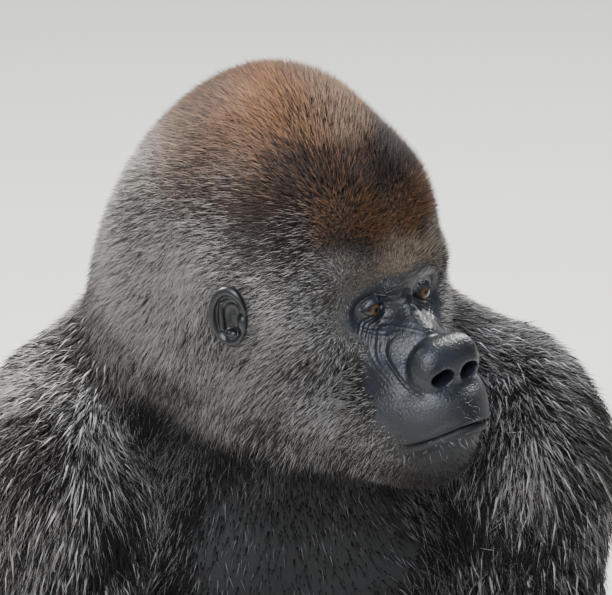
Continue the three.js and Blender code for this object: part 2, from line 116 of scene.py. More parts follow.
def puff(p, centre, radii):  # a bell in space: 1 at the centre, falling with the distance counted in radii
    return np.exp(-(((p - np.array(centre)) / np.array(radii)) ** 2).sum(1))


def radiiFrom(p, centre, radii):  # distance from the centre, counted in radii
    return size((p - np.array(centre)) / np.array(radii))


# Joints and directions. The head's own frame is side, forward, up, its origin midway between the ear holes.
stance = {
    "headAt": (0.022, -0.085, 0.885),
    "headTurn": 33,  # degrees to its left
    "headLift": 3,
    "shoulder": (0.236, -0.008, 0.640),
    "elbow": (0.252, -0.180, 0.335),
    "wrist": (0.150, -0.340, 0.100),
    "hip": (0.115, 0.070, 0.150),
    "knee": (0.405, -0.165, 0.215),
    "ankle": (0.304, -0.420, 0.085),
    "heel": (0.282, -0.390, 0.030),
    "handAim": (-0.35, -0.937, 0),
    "footAim": (0.22, -0.9755, 0),
    "handWide": (0.937, -0.35, 0),  # from the thumb's side to the little finger's
    "footWide": (0.9755, 0.22, 0),
    "softMidline": 0.025,  # how wide the crease along the body's middle is rounded
    "floor": 0.0006,  # what rests on the ground is cut off here
}
at = {name: np.array(place) for name, place in stance.items() if isinstance(place, tuple)}
turn, lift = math.radians(stance["headTurn"]), math.radians(stance["headLift"])
headSide = np.array([math.cos(turn), math.sin(turn), 0])
ahead = np.array([math.sin(turn), -math.cos(turn), 0])
upward = np.array([0, 0, 1.0])
headForward = ahead * math.cos(lift) + upward * math.sin(lift)
headUp = upward * math.cos(lift) - ahead * math.sin(lift)
headAxes = np.stack([headSide, headForward, headUp])


def toHead(p):
    return (p - at["headAt"]) @ headAxes.T


def fromHead(q):
    return at["headAt"] + np.array(q) @ headAxes


def mirrored(q):
    m = q.copy()
    m[:, 0] = np.abs(m[:, 0])
    return m


# Head and face
skull = [
    (1, ball, (0, -0.015, 0.045), (0.092, 0.120, 0.100)),  # braincase
    (0.05, ball, (0, -0.055, 0.122), (0.084, 0.114, 0.098)),  # crest
    (0.05, ball, (0.036, 0.026, 0.102), (0.044, 0.068, 0.050)),  # forehead's corners
    (0.06, ball, (0.028, -0.128, 0.046), (0.086, 0.096, 0.114)),  # nape
    (0.05, ball, (0.058, 0.008, 0), (0.050, 0.080, 0.085)),  # temple
    (0.05, ball, (0.052, 0, -0.085), (0.052, 0.085, 0.068)),  # jaw muscle
    (0.05, ball, (0, 0.060, -0.112), (0.072, 0.095, 0.055)),  # under the jaw
    (0.03, ball, (0, 0.050, 0), (0.074, 0.055, 0.070)),  # middle of the face
    (0.03, bone, (0, 0.107, 0.052), (0.054, 0.092, 0.047), 0.019, 0.017),  # brow ridge
    (0.03, ball, (0.057, 0.078, -0.014), (0.021, 0.024, 0.026)),  # cheek bone
    (0.02, bone, (0.036, 0.090, -0.010), (0.040, 0.128, -0.064), 0.018, 0.025),  # beside the muzzle
    (0.02, bone, (0.017, 0.104, 0.004), (0.026, 0.138, -0.044), 0.017, 0.022),  # beside the nose
]
muzzle = [
    (1, ball, (0, 0.136, -0.084), (0.066, 0.078, 0.048)),
    (0.03, ball, (0, 0.130, -0.126), (0.052, 0.066, 0.042)),  # chin
]
nose = {
    "wings": ((0.0200, 0.177, -0.034), (0.0210, 0.0200, 0.0270)),
    "tip": ((0, 0.183, -0.036), (0.0120, 0.0145, 0.0245)),
    "pad": ((0, 0.174, -0.023), (0.034, 0.018, 0.0200)),
    "bridge": ((0, 0.093, 0.022), (0, 0.142, -0.014), 0.016, 0.018),
    "nostril": ((0.0165, 0.185, -0.0385), (0.0145, 0.0175, 0.0092)),
    "tipBlend": 0.012,
    "padBlend": 0.010,
    "bridgeBlend": 0.025,
    "nostrilEdge": 0.005,
    "fold": 0.006,
    "lipBlend": 0.022,  # how much rounder the nose meets the lip
    "lipFrom": 0.046,  # depths under the ears between which it grows so
    "lipTo": 0.066,
}
eye = {
    "at": (0.034, 0.1035, 0.018),
    "radius": 0.013,
    "lid": 0.0019,
    "halfWidth": 0.0138,
    "halfHeight": 0.0068,
    "lowerShare": 0.8,  # how far the lower lid opens, as a share of the upper one
    "recess": 0.0008,  # how far the opening reaches under the eye's surface
    "socket": ((0.0355, 0.126, 0.017), (0.0225, 0.020, 0.0145)),
    "socketEdge": 0.014,
    "lidBlend": 0.006,
    "lidEdge": 0.0012,
    "feltPast": 0.06,  # forward of this, and between the next two heights, the eye's parts count
    "feltUnder": 0.06,
    "feltOver": -0.08,
}
joins = {
    "muzzle": 0.03,
    "neck": 0.08,
    "head": 0.06,
    "shoulder": 0.04,
    "wrist": 0.015,
    "hip": 0.05,
    "ankle": 0.02,
    "limbs": 0.004,
    "fingers": 0.003,
    "thumb": 0.008,
    "toes": 0.0035,
    "greatToe": 0.012,
}


def eyeParts(q, d):  # socket, lids and their opening
    d = carve(d, ball(q, *eye["socket"]), eye["socketEdge"])
    d = fuse(d, ball(q, eye["at"], [eye["radius"] + eye["lid"]] * 3), eye["lidBlend"])
    return carve(d, lidOpening(q), eye["lidEdge"])


def lidOpening(q):
    # An almond where two discs cross, seen from the front, kept outside a ball just under the eye's surface
    e = q - np.array(eye["at"])
    half, tall = eye["halfWidth"], eye["halfHeight"]
    disc = (half * half + tall * tall) / (2 * tall)
    upper = np.hypot(e[:, 0], e[:, 2] + disc - tall) - disc
    lower = np.hypot(e[:, 0], e[:, 2] - disc + tall * eye["lowerShare"]) - disc
    behind = eye["radius"] - eye["recess"] - size(e)
    return np.maximum(np.maximum(upper, lower), np.maximum(behind, -e[:, 1]))


def headField(p):
    q = mirrored(toHead(p))
    d = fuse(melt(q, skull), melt(q, muzzle), joins["muzzle"])
    d = fuse(d, bone(q, *nose["bridge"]), nose["bridgeBlend"])
    snout = fuse(ball(q, *nose["wings"]), ball(q, *nose["tip"]), nose["tipBlend"])
    snout = fuse(snout, ball(q, *nose["pad"]), nose["padBlend"])
    rounder = step(-q[:, 2], nose["lipFrom"], nose["lipTo"])
    d = fuse(d, snout, nose["fold"] + nose["lipBlend"] * rounder)
    felt = (q[:, 1] > eye["feltPast"]) & (q[:, 2] < eye["feltUnder"]) & (q[:, 2] > eye["feltOver"])
    d[felt] = eyeParts(q[felt], d[felt])
    return carve(d, ball(q, *nose["nostril"]), nose["nostrilEdge"])


# Trunk and limbs, for points whose x is already the distance from the midline
trunk = [
    (1, ball, (0.030, 0.085, 0.140), (0.175, 0.165, 0.165)),  # pelvis
    (0.10, ball, (0, -0.010, 0.300), (0.218, 0.200, 0.205)),  # belly
    (0.10, ball, (0, 0.085, 0.480), (0.230, 0.185, 0.265)),  # ribs
    (0.08, ball, (0.100, 0.125, 0.610), (0.150, 0.120, 0.150)),  # shoulder blades
    (0.06, ball, (0.080, -0.045, 0.585), (0.095, 0.075, 0.080)),  # chest muscles
    (0.06, ball, (0.150, 0.110, 0.500), (0.100, 0.110, 0.160)),  # flanks
    (0.08, bone, (0.030, 0.085, 0.690), (0.220, 0.035, 0.680), 0.115, 0.070),  # yoke of the shoulders
]
neck = [
    (1, bone, (0, 0.080, 0.700), fromHead((-0.040, -0.110, -0.020)), 0.140, 0.122),
    (0.08, bone, (0, 0.060, 0.825), (-0.205, 0.060, 0.712), 0.112, 0.068),  # slope to the right shoulder
    (0.08, bone, (0.020, 0.060, 0.772), (0.205, 0.030, 0.702), 0.090, 0.068),  # and to the left one
    (0.06, bone, (0, 0, 0.700), fromHead((0, 0, -0.070)), 0.100, 0.080),  # throat
]
arm = [
    (1, ball, at["shoulder"] + np.array([0.003, 0.008, 0.010]), (0.084, 0.098, 0.103)),  # deltoid
    (0.06, bone, at["shoulder"], at["elbow"], 0.074, 0.056),
    (0.04, bone, at["elbow"], at["wrist"], 0.060, 0.034),
    (0.04, ball, at["elbow"] * 0.72 + at["wrist"] * 0.28, (0.060, 0.060, 0.070)),
]
calf = at["knee"] * 0.65 + at["ankle"] * 0.35 + np.array([0, 0.012, -0.012])
leg = [
    (1, bone, at["hip"], at["knee"], 0.115, 0.070),
    (0.04, bone, at["knee"], at["ankle"], 0.064, 0.040),
    (0.04, ball, calf, (0.060, 0.060, 0.070)),
]
hand = {
    "apart": 0.0235,  # between the middles of neighbouring fingers
    "atWrist": 0.45,  # their spread at the wrist, as a share of that at the knuckles
    "palm": 0.048,
    "knuckleHeight": 0.064,
    "reach": 0.036,  # how far the middle joint is ahead of the knuckle, and of the joint after it
    "bendHeight": 0.0135,
    "tipBack": 0.010,
    "tipRise": 0.020,
    "thumb": ((-0.022, 0.012, 0.018), (-0.026, 0.034, 0.030), (0.004, 0.024, 0.020)),  # across, on, down
}
foot = {
    "toesAt": 0.180,  # from the heel to the base of the first of the four small toes
    "toesStep": 0.012,  # how much nearer each next one is
    "inner": -0.014,
    "apart": 0.0215,
    "sunk": 0.013,
    "toe": 0.060,
    "toeStep": 0.005,
    "splay": 0.004,
    "tipSunk": 0.004,
    "arch": 0.005,
    "instep": (0.060, 0.010, 0.004),  # on, across from toe to toe, and up
    "sole": (0.085, 0.012),  # how far the heel's bone runs on, and how far up
    "greatToe": ((0.085, -0.018, 0.004), (0.055, -0.038, 0.006), (0.042, -0.010, 0.003)),  # on, across, down
}


def fingerJoints(i):
    # Folded so that the middle joint stands on the ground
    across = (i - 1.5) * hand["apart"]
    lift = upward * (hand["knuckleHeight"] - at["wrist"][2])
    knuckle = at["wrist"] + at["handAim"] * hand["palm"] + at["handWide"] * across + lift
    bend = knuckle + at["handAim"] * hand["reach"]
    bend[2] = hand["bendHeight"]
    fold = bend - at["handAim"] * hand["reach"]
    tip = fold - at["handAim"] * hand["tipBack"] + upward * hand["tipRise"]
    return at["wrist"] + at["handWide"] * across * hand["atWrist"], knuckle, bend, fold, tip


def toeJoints(i):
    on, across = foot["toesAt"] - foot["toesStep"] * i, foot["inner"] + foot["apart"] * i
    base = at["heel"] + at["footAim"] * on + at["footWide"] * across - upward * foot["sunk"]
    on, across = foot["toe"] - foot["toeStep"] * i, foot["splay"] * i
    tip = base + at["footAim"] * on + at["footWide"] * across - upward * foot["tipSunk"]
    return base, (base + tip) / 2 + upward * foot["arch"], tip


def stepsFrom(start, directions, steps):  # the joints led to by steps, each a length along every direction
    joints = [start]
    for lengths in steps:
        joint = joints[-1]
        for direction, far in zip(directions, lengths):
            joint = joint + direction * far
        joints.append(joint)
    return joints[1:]


thumb = stepsFrom(at["wrist"], (at["handWide"], at["handAim"], -upward), hand["thumb"])
greatToe = stepsFrom(at["heel"], (at["footAim"], at["footWide"], -upward), foot["greatToe"])


def handField(m):
    d = None
    for i in range(4):
        root, knuckle, bend, fold, tip = fingerJoints(i)
        finger = melt(m, [
            (1, bone, root, knuckle, 0.026, 0.0160),
            (0.006, bone, knuckle, bend, 0.0140, 0.0130),
            (0.004, ball, knuckle, (0.0150, 0.0150, 0.0150)),
            (0.003, bone, bend, fold, 0.0138, 0.0122),
            (0.003, bone, fold, tip, 0.0124, 0.0112),
        ])
        d = finger if d is None else fuse(d, finger, joins["fingers"])
    inner = melt(m, [(1, bone, *thumb[:2], 0.020, 0.0155), (0.005, bone, *thumb[1:], 0.0155, 0.0125)])
    return fuse(d, inner, joins["thumb"])


def footField(m):
    on, up = foot["sole"]
    d = bone(m, at["heel"], at["heel"] + at["footAim"] * on + upward * up, 0.034, 0.034)
    on, across, up = foot["instep"]
    for i in range(4):
        base, middle, tip = toeJoints(i)
        instep = at["heel"] + at["footAim"] * on + at["footWide"] * (across * (i - 1.5)) + upward * up
        toe = melt(m, [
            (1, bone, instep, base, 0.031, 0.0165),
            (0.006, bone, base, middle, 0.0128, 0.0118),
            (0.003, bone, middle, tip, 0.0124, 0.0118),
        ])
        d = fuse(d, toe, joins["toes"])
    great = melt(m, [(1, bone, *greatToe[:2], 0.026, 0.0205), (0.006, bone, *greatToe[1:], 0.0195, 0.0175)])
    return fuse(d, great, joins["greatToe"])


def armField(m):
    return melt(m, arm)


def legField(m):
    return melt(m, leg)


def torsoField(m, p):  # the trunk is alike on both sides, and the neck isn't
    return fuse(melt(m, trunk), melt(p, neck), joins["neck"])


# Where each field is worth reckoning: centre and reach of a ball round it
reaches = {
    "arm": ((0.2, -0.15, 0.42), 0.55),
    "hand": ((0.14, -0.42, 0.045), 0.18),
    "leg": ((0.26, -0.15, 0.16), 0.48),
    "foot": (at["heel"] + at["footAim"] * 0.1, 0.23),
    "head": (fromHead((0, -0.005, 0.020)), 0.31),
    "facePast": 0.10,  # the middle of the face, which the body's field doesn't reach
    "faceHalf": 0.085,
    "faceOver": -0.13,
    "faceReach": 0.26,
    "noBody": 0.2,
}


def bodyField(p):
    m = p.copy()
    m[:, 0] = np.hypot(p[:, 0], stance["softMidline"])
    torso = torsoField(m, p)
    arms = fuse(torso, within(armField, m, *reaches["arm"]), joins["shoulder"])
    arms = fuse(arms, within(handField, m, *reaches["hand"]), joins["wrist"])
    legs = fuse(torso, within(legField, m, *reaches["leg"]), joins["hip"])
    legs = fuse(legs, within(footField, m, *reaches["foot"]), joins["ankle"])
    return fuse(arms, legs, joins["limbs"])


def skinField(p):
    q = toHead(p)
    onFace = (q[:, 1] > reaches["facePast"]) & (np.abs(q[:, 0]) < reaches["faceHalf"])
    onFace &= (q[:, 2] > reaches["faceOver"]) & (size(q) < reaches["faceReach"])
    body = np.full(len(p), reaches["noBody"])
    body[~onFace] = bodyField(p[~onFace])
    head = within(headField, p, *reaches["head"])
    return np.maximum(fuse(body, head, joins["head"]), stance["floor"] - p[:, 2])


corners = np.array([[1, -1, -1], [-1, -1, 1], [-1, 1, -1], [1, 1, 1]])


def slope(field, p, reach=0.0003):  # gradient and value from the four corners of a small tetrahedron
    values = np.stack([field(p + corner * reach) for corner in corners])
    return values.T @ corners / (4 * reach), values.mean(0)


def settle(field, p, rounds=4, most=0.006):  # Newton's steps along the gradient to the zero surface
    for _ in range(rounds):
        g, d = slope(field, p)
        move = -(d / np.maximum((g * g).sum(-1), 0.2))[:, None] * g
        far = size(move)[:, None] + 1e-12
        p = p + move * np.minimum(1, most / far)
    return p


def surfaceNet(field, low, high, gap, coarse=4):
    # One point in each cell that the surface crosses, at the mean of its edge crossings, and a quad round
    # each crossed edge. Far from the surface the coarse grid's values stand in for the fine ones.
    count = [int(math.ceil((h - l) / (gap * coarse))) for l, h in zip(low, high)]
    axes = [l + gap * coarse * np.arange(n + 1) for l, n in zip(low, count)]
    nodes = np.stack(np.meshgrid(*axes, indexing="ij"), -1).reshape(-1, 3)
    grid = field(nodes).reshape([n + 1 for n in count])
    for axis in range(3):
        grid = np.repeat(grid, coarse, axis)
    shift = coarse // 2
    grid = grid[shift:, shift:, shift:].copy()
    near = np.abs(grid) < gap * coarse * 1.6  # over half a coarse cell's diagonal, with a margin
    ijk = np.argwhere(near)
    grid[near] = field(np.array(low) + gap * ijk)
    inside = grid < 0
    cube = [(i, j, k) for i in (0, 1) for j in (0, 1) for k in (0, 1)]
    n = [s - 1 for s in grid.shape]

    def corner(a, c):
        return a[tuple(slice(c[x], c[x] + n[x]) for x in range(3))]

    total = sum(corner(inside, c).astype(int) for c in cube)
    live = (total > 0) & (total < 8)
    cells = np.argwhere(live)
    summed, hits = np.zeros((len(cells), 3)), np.zeros(len(cells))
    for axis in range(3):
        for c in cube:
            if c[axis]:
                continue
            e = list(c)
            e[axis] = 1
            a = corner(grid, c)[live]
            b = corner(grid, tuple(e))[live]
            crossed = (a < 0) != (b < 0)
            t = np.where(crossed, a / np.where(crossed, a - b, 1), 0)
            offset = np.tile(np.array(c, float), (len(cells), 1))
            offset[:, axis] = t
            summed += offset * crossed[:, None]
            hits += crossed
    points = np.array(low) + gap * (cells + summed / hits[:, None])
    number = np.full(n, -1)
    number[live] = np.arange(len(cells))
    quads = []
    for axis in range(3):
        u, v = [(1, 2), (2, 0), (0, 1)][axis]
        a, b = inside, np.roll(inside, -1, axis)
        edge = a != b
        edge[tuple(slice(-1, None) if x == axis else slice(None) for x in range(3))] = False
        for x in (u, v):  # an edge on the grid's border has no four cells round it
            edge[tuple(slice(0, 1) if y == x else slice(None) for y in range(3))] = False
            edge[tuple(slice(-1, None) if y == x else slice(None) for y in range(3))] = False
        where = np.argwhere(edge)
        du, dv = np.zeros(3, int), np.zeros(3, int)
        du[u], dv[v] = 1, 1
        ring = [where - du - dv, where - dv, where, where - du]
        quad = np.stack([number[tuple(r.T)] for r in ring], -1)
        out = a[tuple(where.T)]
        quads.append(np.where(out[:, None], quad, quad[:, ::-1]))
    quads = np.concatenate(quads)
    return points, np.concatenate([quads[:, [0, 1, 2]], quads[:, [0, 2, 3]]])


def edgesOf(faces):
    pairs = np.sort(np.stack([faces, np.roll(faces, -1, 1)], -1).reshape(-1, 2), 1)
    keys = pairs[:, 0] * (faces.max() + 1) + pairs[:, 1]
    _, first, back = np.unique(keys, return_index=True, return_inverse=True)
    return pairs[first], back.reshape(-1, 3)


def splitLong(points, faces, wanted):
    # Each edge longer than wanted gets a middle point, and each triangle is cut in 2, 3 or 4 by its middles.
    # A triangle that is cut at all is also cut on its longest edge, which keeps the pieces stout.
    pairs, back = edgesOf(faces)
    long = size(points[pairs[:, 0]] - points[pairs[:, 1]])
    marked = long > wanted(points[pairs].mean(1))
    longest = back[np.arange(len(faces)), long[back].argmax(1)]
    for _ in range(8):
        more = marked[back].any(1) & ~marked[longest]
        if not more.any():
            break
        marked[longest[more]] = True
    if not marked.any():
        return points, faces, False
    number = np.full(len(pairs), -1)
    number[marked] = len(points) + np.arange(marked.sum())
    points = np.concatenate([points, points[pairs[marked]].mean(1)])
    middle = number[back]
    count = (middle >= 0).sum(1)
    out = [faces[count == 0]]

    def turned(rows, first):  # rolls each triangle so that edge `first` comes first
        index = (first[:, None] + np.arange(3)) % 3
        pick = np.arange(len(rows))[:, None]
        return faces[rows][pick, index], middle[rows][pick, index]

    rows = np.nonzero(count == 1)[0]
    f, m = turned(rows, (middle[rows] >= 0).argmax(1))
    out += [np.stack([f[:, 0], m[:, 0], f[:, 2]], 1), np.stack([m[:, 0], f[:, 1], f[:, 2]], 1)]
    rows = np.nonzero(count == 2)[0]
    f, m = turned(rows, ((middle[rows] < 0).argmax(1) + 1) % 3)
    out += [np.stack([m[:, 0], f[:, 1], m[:, 1]], 1), np.stack([f[:, 0], m[:, 0], m[:, 1]], 1)]
    out += [np.stack([f[:, 0], m[:, 1], f[:, 2]], 1)]
    f, m = faces[count == 3], middle[count == 3]
    for i in range(3):
        out.append(np.stack([f[:, i], m[:, i], m[:, i - 1]], 1))
    out.append(m)
    return points, np.concatenate(out), True


def relax(field, points, faces, amount=0.5):  # moves points towards their neighbours' mean, along the surface
    pairs, _ = edgesOf(faces)
    both = np.concatenate([pairs, pairs[:, ::-1]])
    count = np.bincount(both[:, 0], minlength=len(points)) + 1e-9
    sums = [np.bincount(both[:, 0], points[both[:, 1], i], len(points)) for i in range(3)]
    mean = np.stack([total / count for total in sums], 1)
    g = unit(slope(field, points)[0])
    move = mean - points
    move -= (move * g).sum(1)[:, None] * g
    return points + move * amount


def faceNormals(points, faces):
    a, b, c = (points[faces[:, i]] for i in range(3))
    return np.cross(b - a, c - a)


def pointNormals(points, faces):
    n = faceNormals(points, faces)
    rows = np.concatenate([faces[:, 0], faces[:, 1], faces[:, 2]])
    spread = [np.bincount(rows, np.tile(n[:, i], 3), len(points)) for i in range(3)]
    return unit(np.stack(spread, 1))


# Edge lengths wanted over the skin, by place: (centre, radii, length) in the head's frame
headDetail = [
    ((0, 0.02, 0.02), (0.15, 0.17, 0.22), 0.0085),
    ((0, 0.130, -0.040), (0.078, 0.085, 0.118), 0.0036),
    ((0.022, 0.160, -0.035), (0.045, 0.050, 0.050), 0.0021),
    ((0.034, 0.112, 0.018), (0.021, 0.020, 0.017), 0.0013),
    ((0, 0.175, -0.095), (0.070, 0.050, 0.020), 0.0019),
    ((0.018, 0.185, -0.038), (0.018, 0.022, 0.016), 0.0015),
    ((0.044, 0.132, -0.026), (0.020, 0.038, 0.046), 0.0014),
]
skinDetail = {"net": 0.0110, "body": 0.0175, "digits": 0.0064, "digitsUnder": 0.080, "digitsPast": -0.37}


def wantedEdge(p):
    q = mirrored(toHead(p))
    m = mirrored(p)
    wanted = np.full(len(p), skinDetail["body"])
    digits = (m[:, 2] < skinDetail["digitsUnder"]) & (m[:, 1] < skinDetail["digitsPast"])
    wanted[digits] = skinDetail["digits"]
    for centre, radii, edge in headDetail:
        inside = radiiFrom(q, centre, radii) < 1
        wanted[inside] = np.minimum(wanted[inside], edge)
    return wanted


# Folds of the bare face, as a height over the field's surface
folds = {
    "mouthAt": -0.0885,  # height of the lips' line at the middle
    "mouthDrop": 0.023,  # how far its corners turn down
    "mouthHalf": 0.058,
    "lineDepth": 0.0052,
    "lineWidth": 0.0017,
    "lipHeight": 0.0022,
    "lipWidth": 0.0045,
    "lipOver": 0.0062,
    "lipUnder": 0.0065,
    "underLip": (0.016, 0.004, 0.0012),  # below the line, width and depth
    "noseRings": (0.0225, 0.040, 0.0285),
    "noseRipple": 0.0013,
    "noseGap": 0.17,  # between two creases, in the rings' radii
    "noseEdge": 0.0030,
    "cheekHollow": ((0.0620, 0.118, -0.056), (0.011, 0.03, 0.018)),
    "cheekDepth": 0.0060,
    "eyeRipple": 0.0008,
    "eyeBags": (0.0168, 0.0205, 0.0245, 0.0290),
    "lidLines": ((0.0150, 0.0010, 0.0016), (0.0190, 0.0012, 0.0008)),  # radius, width and depth
    "frown": 0.0015,
    "frownGap": 0.0072,
    "browLine": 0.0014,
    "browGap": 0.0058,
    "pores": 0.00016,
}


def mouthLine(side):
    t = side / folds["mouthHalf"]
    return folds["mouthAt"] - folds["mouthDrop"] * t * t


def ridges(x, gap):  # from 1 to 0 and back once in each gap, as a raised cosine
    return 0.5 + 0.5 * np.cos(x * 2 * math.pi / gap)


def faceRelief(q):
    q = mirrored(q)
    s, f, h = q.T
    rise = np.zeros(len(q))
    # Mouth: a groove along a parabola, with a rounded lip over and under it
    above = h - mouthLine(s)
    corner = step(s, folds["mouthHalf"] - 0.010, folds["mouthHalf"] + 0.002)
    along = (1 - corner) * step(f, 0.120, 0.150)
    rise -= folds["lineDepth"] * bell(above, folds["lineWidth"]) * along
    lips = bell(above - folds["lipOver"], folds["lipWidth"])
    lips = lips + 1.1 * bell(above + folds["lipUnder"], folds["lipWidth"])
    rise += folds["lipHeight"] * lips * along
    below, width, depth = folds["underLip"]
    rise -= depth * bell(above + below, width) * along
    # Creases beside the nose: rings round its wing, on the cheek's side
    w = (q - np.array(nose["wings"][0])) / np.array(folds["noseRings"])
    ring = size(w[:, [0, 2]])
    bearing = np.degrees(np.arctan2(w[:, 2], w[:, 0]))
    cheek = bell(bearing - 46, 50) * step(ring, 1.08, 1.18) * (1 - step(ring, 1.75, 2.2))
    cheek = cheek * step(f, 0.085, 0.105)
    wobble = 0.03 * np.sin(bearing * 0.09 + 9 * ring)
    creases = np.abs(np.cos((ring + wobble) * math.pi / folds["noseGap"])) ** 1.5
    rise -= folds["noseRipple"] * cheek * creases
    rise -= folds["noseEdge"] * bell(ring - 1.09, 0.07) * bell(bearing - 12, 48) * step(f, 0.10, 0.13)
    # Hollow between the cheek and the muzzle
    rise -= folds["cheekDepth"] * puff(q, *folds["cheekHollow"])
    # Bags under the eye, and lines over it
    e = q - np.array(eye["at"])
    r = np.hypot(e[:, 0], e[:, 2] * 1.15)
    under = step(-e[:, 2], -0.001, 0.006) * step(f, 0.07, 0.095)
    outer = 0.25 + 0.75 * step(e[:, 0], -0.012, 0.004)  # the nose's own creases take over nearer the middle
    for i, radius in enumerate(folds["eyeBags"]):
        rise -= folds["eyeRipple"] * bell(r - radius, 0.0012) * under * (1 - 0.2 * i) * outer
    over = step(e[:, 2], 0.001, 0.005)
    for radius, width, depth in folds["lidLines"]:
        rise -= depth * bell(r - radius, width) * over
    # Frown lines between the brows, and along them
    middle = bell(s, 0.015) * step(f, 0.09, 0.105) * step(h, 0.008, 0.018) * (1 - step(h, 0.048, 0.062))
    rise -= folds["frown"] * middle * ridges(h + 0.45 * s, folds["frownGap"]) ** 2
    brow = bell(h - 0.056, 0.013) * step(f, 0.090, 0.110)
    rise -= folds["browLine"] * brow * ridges(h - 0.3 * s * s / 0.05, folds["browGap"]) ** 2
    # Pores and small bumps everywhere on the muzzle
    mound = np.sin(s * 900) * np.sin(h * 840 + 1.3) * np.sin(f * 870 + 0.4)
    rise += folds["pores"] * mound * step(f, 0.10, 0.14)
    return rise


print("skin: net")
lowest, highest = np.array(cadBox[0]), np.array(cadBox[1])
points, faces = surfaceNet(skinField, lowest - 0.02, highest + 0.02, skinDetail["net"])
for _ in range(2):
    points = settle(skinField, relax(skinField, points, faces), 2)
print("skin: splitting from", len(faces), "at", time.time() - started)
for _ in range(9):
    before = len(points)
    points, faces, changed = splitLong(points, faces, wantedEdge)
    if not changed:
        break
    points[before:] = settle(skinField, points[before:], 2)
print("skin: relaxing", len(faces), "at", time.time() - started)
for _ in range(2):
    points = settle(skinField, relax(skinField, points, faces, 0.5), 1)
print("skin:", len(faces), "triangles at", time.time() - started)


# How deep the coat is over the skin. The frame's solids are this much bigger than the skin.
coatDepths = [
    ((0, 0.060, 0.500), 0.300, 0.016),
    ((0, -0.150, 0.280), 0.200, 0.012),
    ((0.250, -0.090, 0.500), 0.160, 0.024),
    ((0.200, -0.270, 0.210), 0.120, 0.026),
    ((0.250, -0.050, 0.250), 0.200, 0.020),
    ((0.360, -0.290, 0.150), 0.120, 0.020),
    ((0.140, -0.410, 0.030), 0.055, 0.002),  # hands
    ((0.312, -0.525, 0.020), 0.100, 0.002),  # feet
    ((0.070, -0.150, 0.600), 0.100, 0.003),  # bare chest
]
earPlace = {"at": (0.128, 0.003, 0.010), "turn": 24}
bareFace = [
    (1, ball, (0, 0.170, -0.053), (0.069, 0.088, 0.080)),
    (0.02, ball, (0, 0.125, 0.016), (0.069, 0.055, 0.036)),
]
headCoat = {
    "extent": ((0, 0, 0.020), (0.130, 0.220, 0.200)),
    "fade": 0.02,
    "least": 0.001,
    "most": 0.015,  # over the least
    "face": ((0, 0.170, -0.045), (0.072, 0.110, 0.115)),
    "faceFade": (0.004, 0.055),  # how far inside that it starts, and over what distance it grows full
    "earReach": 0.045,
    "earThin": 0.8,  # how much thinner it is round the ears
    "weight": 3,  # of the head against the places in the list
}


def headNear(q):  # 1 on the head, fading with the distance from it
    return np.exp(-np.maximum(ball(q, *headCoat["extent"]), 0) / headCoat["fade"])


def coatDepth(p):  # mean of the places' depths, weighed by their bells of distance
    q, m = mirrored(toHead(p)), mirrored(p)
    early, full = headCoat["faceFade"]
    face = np.clip((ball(q, *headCoat["face"]) + early) / full, 0, 1)
    thin = 1 - headCoat["earThin"] * puff(q, earPlace["at"], headCoat["earReach"])
    near = headCoat["weight"] * headNear(q)
    depth = headCoat["least"] + face * (2 - face) * headCoat["most"] * thin
    weight, total = near + 1e-9, near * depth
    for centre, reach, deep in coatDepths:
        w = puff(m, centre, reach)
        weight, total = weight + w, total + w * deep
    return total / weight


